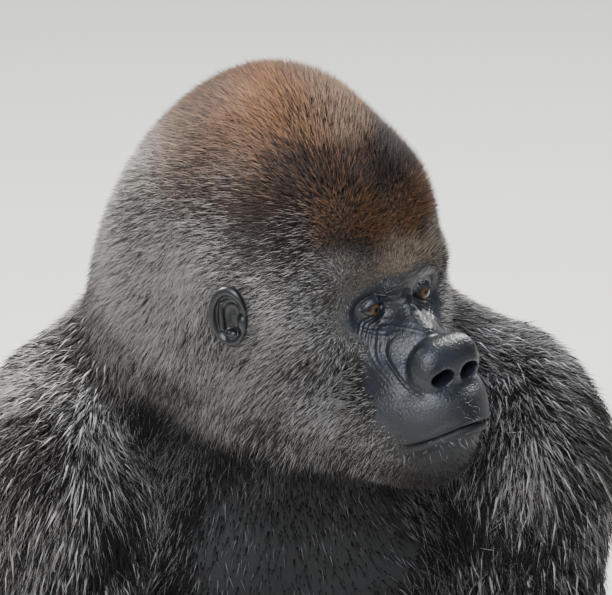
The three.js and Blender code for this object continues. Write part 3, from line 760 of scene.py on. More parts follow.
# Looks of the coat by place: reach of the place, length of hair, the way it lies, its light and dark hairs,
# and the share of light ones. Head places are in the head's frame, body places in the whole's, both mirrored.
chestnut, umber, tan = (0.140, 0.068, 0.036), (0.024, 0.014, 0.011), (0.33, 0.25, 0.175)
silver, ash, slate = (0.50, 0.485, 0.475), (0.055, 0.048, 0.045), (0.15, 0.15, 0.165)
pewter, sable, soot = (0.36, 0.345, 0.34), (0.024, 0.019, 0.017), (0.012, 0.011, 0.012)
russet, fawn = (0.185, 0.085, 0.036), (0.24, 0.165, 0.115)
headLooks = [
    ((0, 0.124, 0.070), 0.016, 0.008, (0.2, -0.2, 1), tan, ash, 0.62),  # over the brow
    ((0.055, 0.115, 0.062), 0.018, 0.009, (0.3, -0.4, 1), tan, ash, 0.50),
    ((0.008, 0.125, 0.089), 0.011, 0.009, (0.1, -0.4, 1), umber, umber, 0.1),  # dark line over it: dark hairs painted as the shade of a crease
    ((0.045, 0.116, 0.083), 0.011, 0.009, (0.2, -0.4, 1), umber, umber, 0.1),
    ((0.020, 0.113, 0.112), 0.022, 0.012, (0.1, -0.5, 1), russet, umber, 0.62),
    ((0.062, 0.092, 0.118), 0.022, 0.013, (0.2, -0.7, 0.8), russet, umber, 0.36),
    ((0, 0.088, 0.152), 0.024, 0.015, (0.1, -0.8, 0.7), chestnut, umber, 0.10),  # dark band
    ((0.042, 0.078, 0.158), 0.024, 0.015, (0.1, -0.8, 0.7), chestnut, umber, 0.06),
    ((0.076, 0.048, 0.155), 0.026, 0.015, (0.2, -0.9, 0.4), chestnut, umber, 0.06),
    ((0.098, 0.015, 0.138), 0.028, 0.016, (0.2, -0.9, 0), chestnut, umber, 0.10),
    ((0.100, 0.055, 0.108), 0.024, 0.015, (0.2, -0.9, -0.1), pewter, umber, 0.14),
    ((0, 0.030, 0.205), 0.038, 0.017, (0.1, -1, 0.5), fawn, umber, 0.60),
    ((0.040, 0.010, 0.205), 0.034, 0.017, (0.1, -1, 0.4), russet, umber, 0.55),
    ((0.030, -0.040, 0.222), 0.042, 0.018, (0.2, -1, 0.2), russet, umber, 0.55),
    ((0.060, -0.100, 0.215), 0.045, 0.019, (0.3, -1, -0.2), chestnut, umber, 0.50),
    ((0.085, -0.030, 0.175), 0.034, 0.018, (0.4, -0.9, 0), chestnut, umber, 0.34),
    ((0.100, -0.105, 0.160), 0.036, 0.019, (0.4, -1, -0.3), fawn, umber, 0.42),
    ((0.118, -0.040, 0.120), 0.040, 0.018, (0.2, -0.9, -0.2), pewter, umber, 0.34),
    ((0.118, 0.021, 0.065), 0.034, 0.015, (0.1, -0.8, -0.4), silver, ash, 0.36),  # temple
    ((0.090, 0.095, 0.040), 0.026, 0.010, (0.3, -0.9, 0.1), silver, ash, 0.34),
    ((0.115, 0.060, -0.030), 0.045, 0.013, (0.2, -0.8, -0.5), silver, ash, 0.34),  # cheek
    ((0.080, 0.110, -0.050), 0.028, 0.009, (0.3, -0.6, -0.7), silver, soot, 0.20),
    ((0.100, 0.060, -0.100), 0.045, 0.014, (0.2, -0.5, -0.9), silver, ash, 0.32),
    ((0.070, 0.115, -0.125), 0.034, 0.011, (0.2, -0.4, -1), silver, ash, 0.22),
    ((0.020, 0.150, -0.150), 0.034, 0.008, (0.1, -0.4, -1), ash, soot, 0.30),  # chin
    ((0.050, 0.060, -0.180), 0.045, 0.014, (0.1, -0.4, -1), ash, soot, 0.40),  # under the jaw
    ((0.100, -0.110, 0.180), 0.050, 0.020, (0.3, -0.8, -0.6), chestnut, umber, 0.48),
    ((0.050, -0.160, 0.190), 0.050, 0.021, (0.1, -0.7, -0.7), chestnut, ash, 0.50),
    ((0.115, -0.060, 0.150), 0.036, 0.019, (0.4, -0.9, -0.3), chestnut, umber, 0.40),
    ((0.110, -0.150, 0.125), 0.050, 0.021, (0.1, -0.6, -0.9), silver, ash, 0.48),
    ((0.145, -0.120, 0.040), 0.060, 0.022, (0.1, -0.4, -1), silver, ash, 0.66),
    ((0.130, -0.060, -0.060), 0.055, 0.020, (0, -0.3, -1), silver, ash, 0.42),
    ((0, -0.210, 0.100), 0.070, 0.024, (0, -0.3, -1), silver, ash, 0.60),
]
bodyLooks = [
    ((0.050, 0.050, 0.800), 0.090, 0.028, (0.7, -0.1, -0.7), silver, ash, 0.62),  # slope of the neck
    ((0.080, 0.220, 0.640), 0.140, 0.034, (0.15, 0.1, -1), silver, ash, 0.50),
    ((0, 0.270, 0.400), 0.200, 0.028, (0.1, 0, -1), silver, ash, 0.72),  # saddle
    # Lighter towards the top of the shoulder: partly its silver-tipped hair, partly painted sheen of the
    # light from above
    ((0.230, 0.030, 0.760), 0.070, 0.034, (0.6, -0.2, -0.8), silver, sable, 0.55),  # shoulder
    ((0.250, -0.050, 0.730), 0.060, 0.038, (0.3, -0.4, -0.9), pewter, sable, 0.40),
    ((0.250, -0.080, 0.640), 0.090, 0.044, (0.1, -0.25, -1), pewter, soot, 0.36),
    ((0.250, -0.110, 0.480), 0.120, 0.052, (0.1, -0.15, -1), slate, soot, 0.30),  # upper arm
    ((0.205, -0.260, 0.220), 0.110, 0.056, (0.45, 0.55, 0.3), slate, soot, 0.30),  # forearm
    ((0, -0.180, 0.300), 0.180, 0.028, (0.6, 0, -0.7), slate, soot, 0.25),  # belly
    ((0.070, -0.150, 0.600), 0.090, 0.014, (0.4, 0, -1), slate, soot, 0.15),  # chest
    ((0.130, -0.080, 0.735), 0.060, 0.018, (0.1, -0.1, -1), slate, soot, 0.12),  # hollow of the neck
    ((0.240, 0.090, 0.400), 0.130, 0.040, (0.1, -0.2, -1), slate, soot, 0.40),  # flank
    ((0.250, -0.050, 0.180), 0.160, 0.042, (0.6, -0.5, -0.6), slate, soot, 0.34),  # thigh
    ((0.360, -0.290, 0.150), 0.110, 0.042, (-0.1, -0.4, -0.9), slate, soot, 0.26),  # shin
    ((0.060, 0.220, 0.120), 0.140, 0.030, (0.2, 0.2, -1), silver, soot, 0.40),  # rump
    ((0.140, -0.410, 0.030), 0.050, 0.010, (-0.35, -0.9, -0.2), soot, soot, 0.2),
    ((0.312, -0.525, 0.020), 0.080, 0.010, (0.2, -0.97, 0), soot, soot, 0.2),
]


def waves(p, scale, seed):  # three slow sums of sines, each from -1 to 1
    turns = np.random.default_rng(seed).normal(size=(3, 4, 3)) / scale
    shift = np.random.default_rng(seed + 1).uniform(0, 6.3, (3, 4))
    return np.stack([np.sin(p @ turns[i].T + shift[i]).mean(1) * 1.6 for i in range(3)], 1)


def lookTable(places):  # centres, reaches, then long, light, dark, share and the flow, one row a place
    rows = []
    for centre, reach, long, flow, light, dark, share in places:
        rows.append((*centre, reach, long, *light, *dark, share, *unit(np.array(flow, float))))
    return np.array(rows)


lookRule = {"headWeight": 6, "bodyFade": 0.9, "parting": 0.040}


def looksAt(p):
    # Weighted mean of the places' looks: bells of distance, the head's places counting only near the head
    q = toHead(p)
    near = headNear(mirrored(q))
    total, weight = np.zeros((len(p), 11)), np.zeros(len(p))
    for table, own, axes, share in (
        (lookTable(headLooks), q, headAxes, lookRule["headWeight"] * near),
        (lookTable(bodyLooks), p, np.eye(3), 1 - lookRule["bodyFade"] * near),
    ):
        gap = mirrored(own)[:, None, :] - table[None, :, :3]
        w = np.exp(-(gap * gap).sum(2) / table[:, 3] ** 2) * share[:, None] + 1e-12
        found = w @ table[:, 4:]
        found[:, 8] *= np.tanh(own[:, 0] / lookRule["parting"])  # the flow turns over across the midline
        found[:, 8:] = found[:, 8:] @ axes
        total += found
        weight += w.sum(1)
    total /= weight[:, None]
    light, dark = total[:, 1:4], total[:, 4:7]
    return {"long": total[:, 0], "light": light, "dark": dark, "share": total[:, 7], "lie": total[:, 8:]}


bare = {
    "chin": (0.085, 0.115),  # depths under the ears between which the coat's edge grows softer
    "softer": 0.016,
    "edge": (-0.003, 0.008),
    "ragged": 0.004,
    "hand": (0.030, 0.095, 0.06, 0.030, 0.060),  # on to start and end, down at the end, and the two radii
    "foot": (0.135, 0.26, 0.052, 0.070),
    "sole": (0.006, 0.016),
    "chest": ((0.045, -0.160, 0.650), (0.105, 0.100, 0.130)),
    "chestFade": (0.75, 1.15),
    "chestHair": 0.10,
    "tone": (0.011, 0.0130, 0.0175),
    "bodyToneAndShadow": 0.22,  # how light the skin of the body is beside the head's: partly its own darker tone, partly painted shadow of the head on the chest
    "mottle": 0.35,
    # painted shade: the coat's mean colour on the skin under it is darkened as if shaded between the hairs
    "shadeBetweenHairs": 0.26,
}


def covered(p):
    # 1 where the coat is full, 0 on bare skin: face, palms, soles and digits, and thin on the chest
    q, m = mirrored(toHead(p)), mirrored(p)
    low = bare["softer"] * step(-q[:, 2], *bare["chin"])  # the coat thins out slowly over the chin
    ragged = bare["ragged"] * waves(p, 0.01, 5)[:, 0]
    face = step(melt(q, bareFace) + ragged, bare["edge"][0] - low, bare["edge"][1] + low)
    near, far, down, *radii = bare["hand"]
    knuckles = at["wrist"] + at["handAim"] * near
    hands = bone(m, knuckles, at["wrist"] + at["handAim"] * far - upward * down, *radii)
    near, far, *radii = bare["foot"]
    toes = bone(m, at["heel"] + at["footAim"] * near, at["heel"] + at["footAim"] * far, *radii)
    cover = face * step(hands, -0.004, 0.010) * step(toes, -0.004, 0.012) * step(m[:, 2], *bare["sole"])
    chest = step(radiiFrom(m, *bare["chest"]), *bare["chestFade"])
    return cover * (bare["chestHair"] + (1 - bare["chestHair"]) * chest)


def skinTone(p):
    # Bare skin is blue-black. Under the coat it takes the coat's own mean colour, darkened by painted shade
    # as if shaded between the hairs.
    looks, cover = looksAt(p), covered(p)[:, None]
    part = looks["share"][:, None]
    under = (looks["light"] * part + looks["dark"] * (1 - part)) * bare["shadeBetweenHairs"]
    onHead = headNear(mirrored(toHead(p)))[:, None]
    # Bare skin away from the head is darker: partly its own tone, partly painted shadow of the head falling
    # on the chest
    own = np.array(bare["tone"]) * (bare["bodyToneAndShadow"] + (1 - bare["bodyToneAndShadow"]) * onHead)
    own = own * (1 + bare["mottle"] * waves(p, 0.02, 9)[:, :1])
    return own * (1 - cover) + under * cover


# Meshes
def addThing(name, data):
    thing = bpy.data.objects.new(name, data)
    bpy.context.scene.collection.objects.link(thing)
    return thing


def newPiece(name, points, faces, finish, smooth=True):
    mesh = bpy.data.meshes.new(name)
    mesh.vertices.add(len(points))
    mesh.vertices.foreach_set("co", np.ascontiguousarray(points, np.float32).ravel())
    sides = faces.shape[1]
    mesh.loops.add(faces.size)
    mesh.loops.foreach_set("vertex_index", faces.ravel().astype(np.int32))
    mesh.polygons.add(len(faces))
    mesh.polygons.foreach_set("loop_start", np.arange(0, faces.size, sides, dtype=np.int32))
    mesh.polygons.foreach_set("use_smooth", np.full(len(faces), smooth))
    mesh.update(calc_edges=True)
    mesh.materials.append(finish)
    piece = addThing(name, mesh)
    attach(piece, "root")
    return piece


def paint(piece, name, colours):
    layer = piece.data.color_attributes.new(name, "FLOAT_COLOR", "POINT")
    rgba = np.ones((len(colours), 4), np.float32)
    rgba[:, : colours.shape[1]] = colours
    layer.data.foreach_set("color", rgba.ravel())


def addUv(piece, name, perPoint):
    layer = piece.data.uv_layers.new(name=name)
    corners = np.zeros(len(piece.data.loops), np.int32)
    piece.data.loops.foreach_get("vertex_index", corners)
    layer.data.foreach_set("uv", perPoint[corners].astype(np.float32).ravel())


# Finishes
class Wire:  # a socket that adds Math nodes when it is reckoned with
    def __init__(self, tree, socket):
        self.tree, self.socket = tree, socket

    def maths(self, operation, first, second):
        return makeNode(self.tree, "ShaderNodeMath", {"operation": operation}, {0: first, 1: second})

    def __add__(self, other):
        return self.maths("ADD", self, other)

    def __radd__(self, other):
        return self.maths("ADD", other, self)

    def __sub__(self, other):
        return self.maths("SUBTRACT", self, other)

    def __rsub__(self, other):
        return self.maths("SUBTRACT", other, self)

    def __mul__(self, other):
        return self.maths("MULTIPLY", self, other)

    def __rmul__(self, other):
        return self.maths("MULTIPLY", other, self)

    def __pow__(self, other):
        return self.maths("POWER", self, other)


def makeNode(tree, kind, settings=None, inputs=None, out=0):
    node = tree.nodes.new(kind)
    for name, value in (settings or {}).items():
        if name == "stops":
            ramp = node.color_ramp
            while len(ramp.elements) < len(value):
                ramp.elements.new(1)
            for element, (place, colour) in zip(ramp.elements, value):
                element.position, element.color = place, (*colour, 1)
        else:
            setattr(node, name, value)
    for name, value in (inputs or {}).items():
        if isinstance(value, Wire):
            tree.links.new(value.socket, node.inputs[name])
        else:
            node.inputs[name].default_value = value
    return Wire(tree, node.outputs[out]) if node.outputs else None


def newFinish(name):
    material = bpy.data.materials.new(name)
    material.use_nodes = True
    tree = material.node_tree
    tree.nodes.clear()
    return material, tree


def finishWith(tree, **inputs):  # a Principled surface; an underscore in a name stands for a space
    named = {key.replace("_", " "): value for key, value in inputs.items()}
    shader = makeNode(tree, "ShaderNodeBsdfPrincipled", None, named)
    makeNode(tree, "ShaderNodeOutputMaterial", None, {"Surface": shader})


def mixColours(tree, factor, a, b, kind="MIX"):
    settings = {"data_type": "RGBA", "blend_type": kind}
    return makeNode(tree, "ShaderNodeMix", settings, {0: factor, 6: a, 7: b}, 2)


def noise(tree, vector, scale, detail=3.0, rough=0.6):
    inputs = {"Vector": vector, "Scale": scale, "Detail": detail, "Roughness": rough}
    return makeNode(tree, "ShaderNodeTexNoise", None, inputs)


def ramp(tree, value, *stops):
    return makeNode(tree, "ShaderNodeValToRGB", {"stops": stops}, {"Fac": value})


def grey(v):
    return (v, v, v)


def objectPlace(tree):
    return makeNode(tree, "ShaderNodeTexCoord", out=3)


def painted(tree, name, out=0):  # a painted attribute: output 0 is its colour, 2 its value
    return makeNode(tree, "ShaderNodeAttribute", {"attribute_name": name}, out=out)


def voronoi(tree, place, feature, scale):
    return makeNode(tree, "ShaderNodeTexVoronoi", {"feature": feature}, {"Vector": place, "Scale": scale})


def bumped(tree, strength, distance, height):
    inputs = {"Strength": strength, "Distance": distance, "Height": height}
    return makeNode(tree, "ShaderNodeBump", None, inputs)


def skinFinish():
    material, tree = newFinish("gorillaSkin")
    place = objectPlace(tree)
    tone = painted(tree, "tone")
    mottle = noise(tree, place, 55, 4)
    fine = noise(tree, place, 420, 3)
    pores = voronoi(tree, place, "F1", 620.0)
    lines = voronoi(tree, place, "DISTANCE_TO_EDGE", 260.0)
    shade = ramp(tree, mottle, (0.30, grey(0.65)), (0.70, grey(1.30)))
    colour = mixColours(tree, 1.0, tone, shade, "MULTIPLY")
    rough = 0.70 - painted(tree, "bare", 2) * 0.36 + mottle * 0.12
    height = fine * 0.35 + pores * 0.30 + ramp(tree, lines, (0.0, grey(0)), (0.12, grey(1))) * 0.35
    bump = bumped(tree, 0.42, 0.0010, height)
    finishWith(tree, Base_Color=colour, Roughness=rough, Normal=bump, Specular_IOR_Level=0.5)
    return material


def coatFinish(name, rough):
    material, tree = newFinish(name)
    tone = painted(tree, "tone")
    streak = noise(tree, objectPlace(tree), 900, 2)
    shade = ramp(tree, streak, (0.25, grey(0.75)), (0.75, grey(1.25)))
    colour = mixColours(tree, 1.0, tone, shade, "MULTIPLY")
    gloss = rough + (streak - 0.5) * 0.2
    finishWith(tree, Base_Color=colour, Roughness=gloss, Specular_IOR_Level=0.22)
    return material


# The skin
normals = pointNormals(points, faces)
headPoints = toHead(points)
onFace = (headPoints[:, 1] > 0.06) & (size(headPoints) < 0.28)  # outside these the folds have died away
relief = np.where(onFace, faceRelief(headPoints), 0)
skinPoints = points + normals * relief[:, None]
skin = newPiece("skin", skinPoints, faces, skinFinish())
paint(skin, "tone", skinTone(points))
glossShare = {"body": 0.08, "face": 0.92}  # the face is the glossiest
bareness = (1 - covered(points)) * (glossShare["body"] + glossShare["face"] * headNear(mirrored(headPoints)))
paint(skin, "bare", np.repeat(bareness[:, None], 3, 1))
flesh = [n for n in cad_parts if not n.startswith(("eye", "ear"))]
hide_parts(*flesh)


# Ears: an oval plate with a rolled rim, an inner fold and a bowl, netted finely on its own field
earShape = {
    "plate": (0.0055, 0.0195, 0.0290),
    "rim": (0.0182, 0.0272),  # half axes of the rim's oval
    "rimThick": 0.0046,
    "bowl": ((0.0070, 0.0035, -0.0015), (0.0100, 0.0115, 0.0185)),
    "groove": (0.0132, 0.0212),
    "grooveThick": 0.0024,
    "ridge": ((0.0040, -0.0085, 0.0130), (0.0045, -0.0070, -0.0130), 0.0020, 0.0026),
    "notch": ((0.0040, 0.0025, -0.0175), (0.0042, 0.0060, 0.0042)),  # bump over the lobe
    "flap": ((0.0030, 0.0140, -0.0050), (0.0040, 0.0042, 0.0080)),  # before the hole
    "lobe": ((0.0010, 0.0050, -0.0265), (0.0040, 0.0075, 0.0060)),
    "root": ((-0.0115, 0.0060, -0.0020), (0.0120, 0.0130, 0.0210)),
    "half": 0.036,  # half the side of the cube that holds it
    "net": 0.0012,
}


def earLocal(q):
    # Out from the ear's face, forward along it, and up
    e = q - np.array(earPlace["at"])
    t = math.radians(earPlace["turn"])
    out = e[:, 0] * math.cos(t) + e[:, 1] * math.sin(t)
    forward = -e[:, 0] * math.sin(t) + e[:, 1] * math.cos(t)
    return np.stack([out, forward, e[:, 2]], 1)


def ovalRing(e, oval, out, thick):  # a tube along an oval, its thickness given point by point
    r = size(e[:, 1:] / np.array(oval))
    return np.hypot((r - 1) * (oval[0] + oval[1]) / 2, e[:, 0] - out) - thick


def earField(q):
    e = earLocal(q)
    bearing = np.degrees(np.arctan2(e[:, 2], -e[:, 1]))  # 0 at the rear, 90 at the top
    ahead = bell(np.abs(bearing) - 180, 50)
    d = ball(e, (0, 0, 0), earShape["plate"])
    thick = earShape["rimThick"] * (1 - 0.80 * ahead) * (1 - 0.40 * bell(bearing + 90, 45))
    d = fuse(d, ovalRing(e, earShape["rim"], 0.0034, thick), 0.003)
    d = carve(d, ball(e, *earShape["bowl"]), 0.0030)
    groove = ovalRing(e, earShape["groove"], 0.0050, earShape["grooveThick"] * bell(bearing - 10, 85))
    d = carve(d, groove, 0.0015)
    d = fuse(d, bone(e, *earShape["ridge"]), 0.002)
    for name, rounding in (("notch", 0.002), ("flap", 0.003), ("lobe", 0.004), ("root", 0.005)):
        d = fuse(d, ball(e, *earShape[name]), rounding)
    return d


print("ears")


def earFinish():
    material, tree = newFinish("earSkin")
    place = objectPlace(tree)
    grain = noise(tree, place, 300, 4)
    dim = ramp(tree, noise(tree, place, 60, 2), (0.3, (0.004, 0.004, 0.005)), (0.7, (0.011, 0.012, 0.014)))
    bump = bumped(tree, 0.25, 0.0004, grain)
    finishWith(tree, Base_Color=dim, Roughness=0.30 + grain * 0.15, Normal=bump, Specular_IOR_Level=0.55)
    return material


earPaint = earFinish()
earAt, half = np.array(earPlace["at"]), earShape["half"]
earPoints, earFaces = surfaceNet(earField, earAt - half, earAt + half, earShape["net"])
earPoints = settle(earField, relax(earField, earPoints, earFaces), 3, 0.001)
for name, side in (("left", 1), ("right", -1)):
    q = earPoints * np.array([side, 1, 1])
    order = earFaces if side < 0 else earFaces[:, ::-1]  # the head's frame is left-handed
    ear = newPiece("ear_" + name + "_skin", fromHead(q), order, earPaint)
    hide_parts("ear_" + name)


# Eyes: a globe with a slightly domed cornea, its iris, pupil and rim drawn by distance from the line of sight
print("eyes")
look = {
    "sideways": 2.0,
    "up": 3.0,
    "iris": 0.0066,
    "pupil": 0.0024,
    "dome": 0.0007,
    "domeReach": 0.42,  # in radians from the line of sight
    "rings": 40,
    "sectors": 48,
}


def ringFaces(rows, sectors):
    # Triangles between the rows of points round a globe, and from the two poles, which come after them
    row = np.arange(sectors)
    after = (row + 1) % sectors
    start = np.arange(rows - 1)[:, None] * sectors
    a, b = (start + row).ravel(), (start + after).ravel()
    last, front = (rows - 1) * sectors, np.full(sectors, rows * sectors)
    bands = [np.stack([a, b, b + sectors], 1), np.stack([a, b + sectors, a + sectors], 1)]
    caps = [np.stack([front, after, row], 1), np.stack([front + 1, last + row, last + after], 1)]
    return np.concatenate(bands + caps)


def eyeFinish(side):
    material, tree = newFinish("eye_" + side)
    place = makeNode(tree, "ShaderNodeUVMap", {"uv_map": "gaze"})
    # Away is the distance from the line of sight, in the eye's radii
    away = makeNode(tree, "ShaderNodeSeparateXYZ", None, {0: place})
    around = Wire(tree, away.socket.node.outputs[1])
    spokes = makeNode(tree, "ShaderNodeCombineXYZ", None, {0: around * 26.0, 1: away * 2.0})
    streaks = noise(tree, spokes, 1.0, 3)
    irisTone = ramp(tree, streaks, (0.30, (0.026, 0.014, 0.008)), (0.70, (0.088, 0.054, 0.029)))
    iris, pupil = look["iris"] / eye["radius"], look["pupil"] / eye["radius"]
    white = ramp(tree, noise(tree, place, 14, 3), (0.3, (0.008, 0.005, 0.004)), (0.7, (0.026, 0.017, 0.013)))
    rim = ramp(tree, away, (0, grey(0)), (iris * 0.78, grey(0)), (iris, grey(1)))
    edge = ramp(tree, away, (0, grey(0)), (iris, grey(0)), (iris * 1.12, grey(1)))
    hole = ramp(tree, away, (0, grey(1)), (pupil * 0.9, grey(1)), (pupil * 1.1, grey(0)))
    colour = mixColours(tree, rim, irisTone, (0.020, 0.010, 0.006, 1))
    colour = mixColours(tree, edge, colour, white)
    colour = mixColours(tree, hole, colour, (0.002, 0.002, 0.002, 1))
    wet = {"Coat_Weight": 0.45, "Coat_Roughness": 0.03}
    finishWith(tree, Base_Color=colour, Roughness=0.22, Specular_IOR_Level=0.3, **wet)
    return material


def makeEye(side, sign):
    # Rings about the line of sight; the surface swells by a small dome over the iris
    polar = np.linspace(0, math.pi, look["rings"] + 1)[1:-1]
    turns = np.linspace(0, 2 * math.pi, look["sectors"], endpoint=False)
    a, t = np.meshgrid(polar, turns, indexing="ij")
    r = eye["radius"] + look["dome"] * bell(a, look["domeReach"])
    local = np.stack([r * np.sin(a) * np.cos(t), r * np.cos(a), r * np.sin(a) * np.sin(t)], -1).reshape(-1, 3)
    local = np.concatenate([local, [[0, eye["radius"] + look["dome"], 0]], [[0, -eye["radius"], 0]]])
    faces = ringFaces(len(polar), len(turns))
    away = np.append(a.ravel(), [0, math.pi])
    around = np.append(t.ravel(), [0, 0]) / (2 * math.pi)
    yaw, pitch = math.radians(look["sideways"]), math.radians(look["up"])
    x, y, z = local.T
    y, z = y * math.cos(pitch) - z * math.sin(pitch), y * math.sin(pitch) + z * math.cos(pitch)
    x, y = x * math.cos(yaw) + y * math.sin(yaw), -x * math.sin(yaw) + y * math.cos(yaw)
    centre = np.array(eye["at"]) * np.array([sign, 1, 1])
    placed = fromHead(np.stack([x, y, z], 1) + centre)
    middle = fromHead(centre)
    outward = (faceNormals(placed, faces) * (placed[faces].mean(1) - middle)).sum(1)
    faces = np.where(outward[:, None] > 0, faces, faces[:, ::-1])
    piece = newPiece("eyeball_" + side, placed, faces, eyeFinish(side))
    gaze = np.stack([np.sin(np.minimum(away, math.pi / 2)), around], 1)
    addUv(piece, "gaze", gaze)
    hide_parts("eye_" + side)


makeEye("left", 1)
makeEye("right", -1)


# Nails: small arched plates on the backs of the last joints
nail = {
    "finger": {"wide": 0.0068, "out": 0.0105, "on": 0.002},
    "toe": {"wide": 0.0066, "out": 0.0108, "on": 0.003},
    "thumb": {"wide": 0.0068, "out": 0.0112, "on": 0.003},
    "greatToe": {"wide": 0.0090, "out": 0.0158, "on": 0.003},
    "thick": 0.0013,  # half of it, at the middle
    "arch": 0.0022,
    "longer": 1.1,
    "rings": 8,
    "sectors": 12,
}


def nailSpot(joint, tip, side, kind):  # its middle, the way it points, the way it faces, its half width
    aim = unit(tip - joint)
    facing = unit(side - aim * (side @ aim))
    return tip + facing * nail[kind]["out"] + aim * nail[kind]["on"], aim, facing, nail[kind]["wide"]


def makeNails():
    spots = []
    for i in range(4):
        fold, tip = fingerJoints(i)[3:]
        spots.append(nailSpot(fold, tip, -at["handAim"], "finger"))
        middle, tip = toeJoints(i)[1:]
        spots.append(nailSpot(middle, tip, upward, "toe"))
    spots.append(nailSpot(*thumb[1:], -at["handWide"], "thumb"))
    spots.append(nailSpot(*greatToe[1:], upward, "greatToe"))
    polar = np.linspace(0, math.pi, nail["rings"] + 1)[1:-1]
    turns = np.arange(nail["sectors"]) * 2 * math.pi / nail["sectors"]
    a, t = np.meshgrid(polar, turns, indexing="ij")
    globe = np.stack([np.sin(a) * np.cos(t), np.sin(a) * np.sin(t), np.cos(a)], -1).reshape(-1, 3)
    globe = np.concatenate([globe, [[0, 0, 1], [0, 0, -1]]])
    cells = ringFaces(len(polar), len(turns))
    verts, index = [], []
    for middle, aim, facing, wide in spots:
        across = np.cross(aim, facing)
        arch = globe[:, 2] * nail["thick"] - nail["arch"] * globe[:, 0] ** 2
        over, along = np.outer(globe[:, 0], across), np.outer(globe[:, 1], aim)
        plate = middle + over * wide + along * wide * nail["longer"] + np.outer(arch, facing)
        for mirror in (1, -1):
            index.append((cells if mirror < 0 else cells[:, ::-1]) + len(globe) * len(verts))
            verts.append(plate * np.array([mirror, 1, 1]))
    verts = np.concatenate(verts)
    verts[:, 2] = np.maximum(verts[:, 2], stance["floor"])
    material, tree = newFinish("nail")
    band = noise(tree, objectPlace(tree), 240, 3)
    colour = ramp(tree, band, (0.3, (0.012, 0.010, 0.009)), (0.7, (0.045, 0.036, 0.030)))
    finishWith(tree, Base_Color=colour, Roughness=0.32 + band * 0.2)
    newPiece("nails", verts, np.concatenate(index), material)


makeNails()


# Coat
layout = {"edge": 0.01, "side": 0.48, "limbSide": 0.23, "tall": 0.95, "limbLong": 2.7, "spineAt": 0.05}


def unwrap(p):
    # The skin's own shape laid flat: the head by bearing and height about its middle, the trunk about the
    # spine, and each limb about its bones, every one in a rectangle of its own
    edge, side = layout["edge"], layout["side"]
    q, m = toHead(p), mirrored(p)
    uv = np.zeros((len(p), 2))
    bearing = np.arctan2(q[:, 0], q[:, 1]) / (2 * math.pi) + 0.5
    pole = np.arccos(np.clip(unit(q - np.array([0, 0, 0.02]))[:, 2], -1, 1)) / math.pi
    uv[:, 0], uv[:, 1] = edge + side * bearing, 0.5 + edge + side * (1 - pole)
    kind = np.stack([headField(p), torsoField(m, p), armField(m), legField(m)], 1).argmin(1)
    around = np.arctan2(p[:, 0], -(p[:, 1] - layout["spineAt"])) / (2 * math.pi) + 0.5
    tall = np.clip(p[:, 2] / layout["tall"], 0, 1)
    uv[kind == 1] = (0.5 + edge + side * np.stack([around, tall], 1))[kind == 1]
    for number, (a, b, c) in ((2, ("shoulder", "elbow", "wrist")), (3, ("hip", "knee", "ankle"))):
        first, second = at[b] - at[a], at[c] - at[b]
        t1 = (m - at[a]) @ first / (first @ first)
        t2 = (m - at[b]) @ second / (second @ second)
        lower = t1 > 1
        along = np.where(lower, 1 + np.clip(t2, 0, 1.4), np.clip(t1, -0.3, 1)) + 0.3
        spoke = np.where(lower[:, None], m - at[b], m - at[a])
        axis = unit(np.where(lower[:, None], second, first))
        flat = np.cross(axis, np.array([1.0, 0, 0]))
        angle = np.arctan2((spoke * flat).sum(1), spoke[:, 0] - (spoke * axis).sum(1) * axis[:, 0])
        left = (number - 2) * 0.5 + np.where(p[:, 0] > 0, 0, 0.25)
        turned = layout["limbSide"] * (angle / (2 * math.pi) + 0.5)
        laid = np.stack([left + edge + turned, edge + side * along / layout["limbLong"]], 1)
        uv[kind == number] = laid[kind == number]
    return uv


def scatter(count, weigh):
    # Roots spread over the skin in proportion to weigh times area, evenly by stepping along the running total
    weight = weigh(points[faces].mean(1))
    weight /= weight.max()
    running = np.cumsum(size(faceNormals(points, faces)) * weight)
    pick = np.searchsorted(running, (np.arange(count) + dice.random(count)) / count * running[-1])
    pick = np.minimum(pick, len(faces) - 1)
    a, b = np.sqrt(dice.random(count)), dice.random(count)
    mix = np.stack([1 - a, a * (1 - b), a * b], 1)[:, :, None]
    corner = faces[pick]
    return (points[corner] * mix).sum(1), unit((normals[corner] * mix).sum(1)), weight[pick]


coat = {
    "head": {"count": 190000, "width": 0.00105, "spread": 0.25, "sink": 0.0012, "bent": False},
    "body": {"count": 140000, "width": 0.0018, "spread": 0.26, "sink": 0.0020, "bent": False},
    "whiskers": {"count": 260, "width": 0.00055, "spread": 0.45, "sink": 0.0008, "bent": True},
    "locks": {"count": 15000, "width": 0.0026, "spread": 0.16, "sink": 0.0020, "bent": True},
    "perPiece": 190000,
    "quickShare": 12,
}
hair = {  # length, fill, whisker, width and tone: the least value, then the random part over it
    "length": (0.60, 0.60),  # share of the place's own length
    "besideFace": (0.40, 0.030),  # share beside bare skin, and the distance over which that ends
    "fill": (0.50, 0.50),  # share of the coat's depth
    "proud": (0.06, 1.25),  # the share of hairs that stand out of the coat, and how far
    "leastFill": 0.0012,
    "longest": (4.2, 0.003),  # times the coat's depth, and this much more
    "rise": (0.12, 0.93),  # its limits, as the sine of the angle from the skin
    "whisker": (0.005, 0.007),
    "whiskerRise": 0.55,
    "whiskerPale": 0.9,
    "sway": 0.30,
    "width": (0.70, 0.6),
    "widthByLength": (0.55, 1.15),  # its limits
    "leastDense": 0.25,
    "sparsePower": -0.35,  # how much wider hairs are where there are fewer
    "half": (0.5, 0.32),  # half its width and half its thickness
    "bendUp": 0.35,
    "bendDown": 0.22,
    "bendAt": 0.45,
    "bendWidth": 0.85,
    "patches": 0.22,
    "tone": (0.70, 0.60),
    "rootTone": 0.45,  # roots are darker than tips
    "tipGain": 0.65,
    "uvHalf": 0.0013,
}
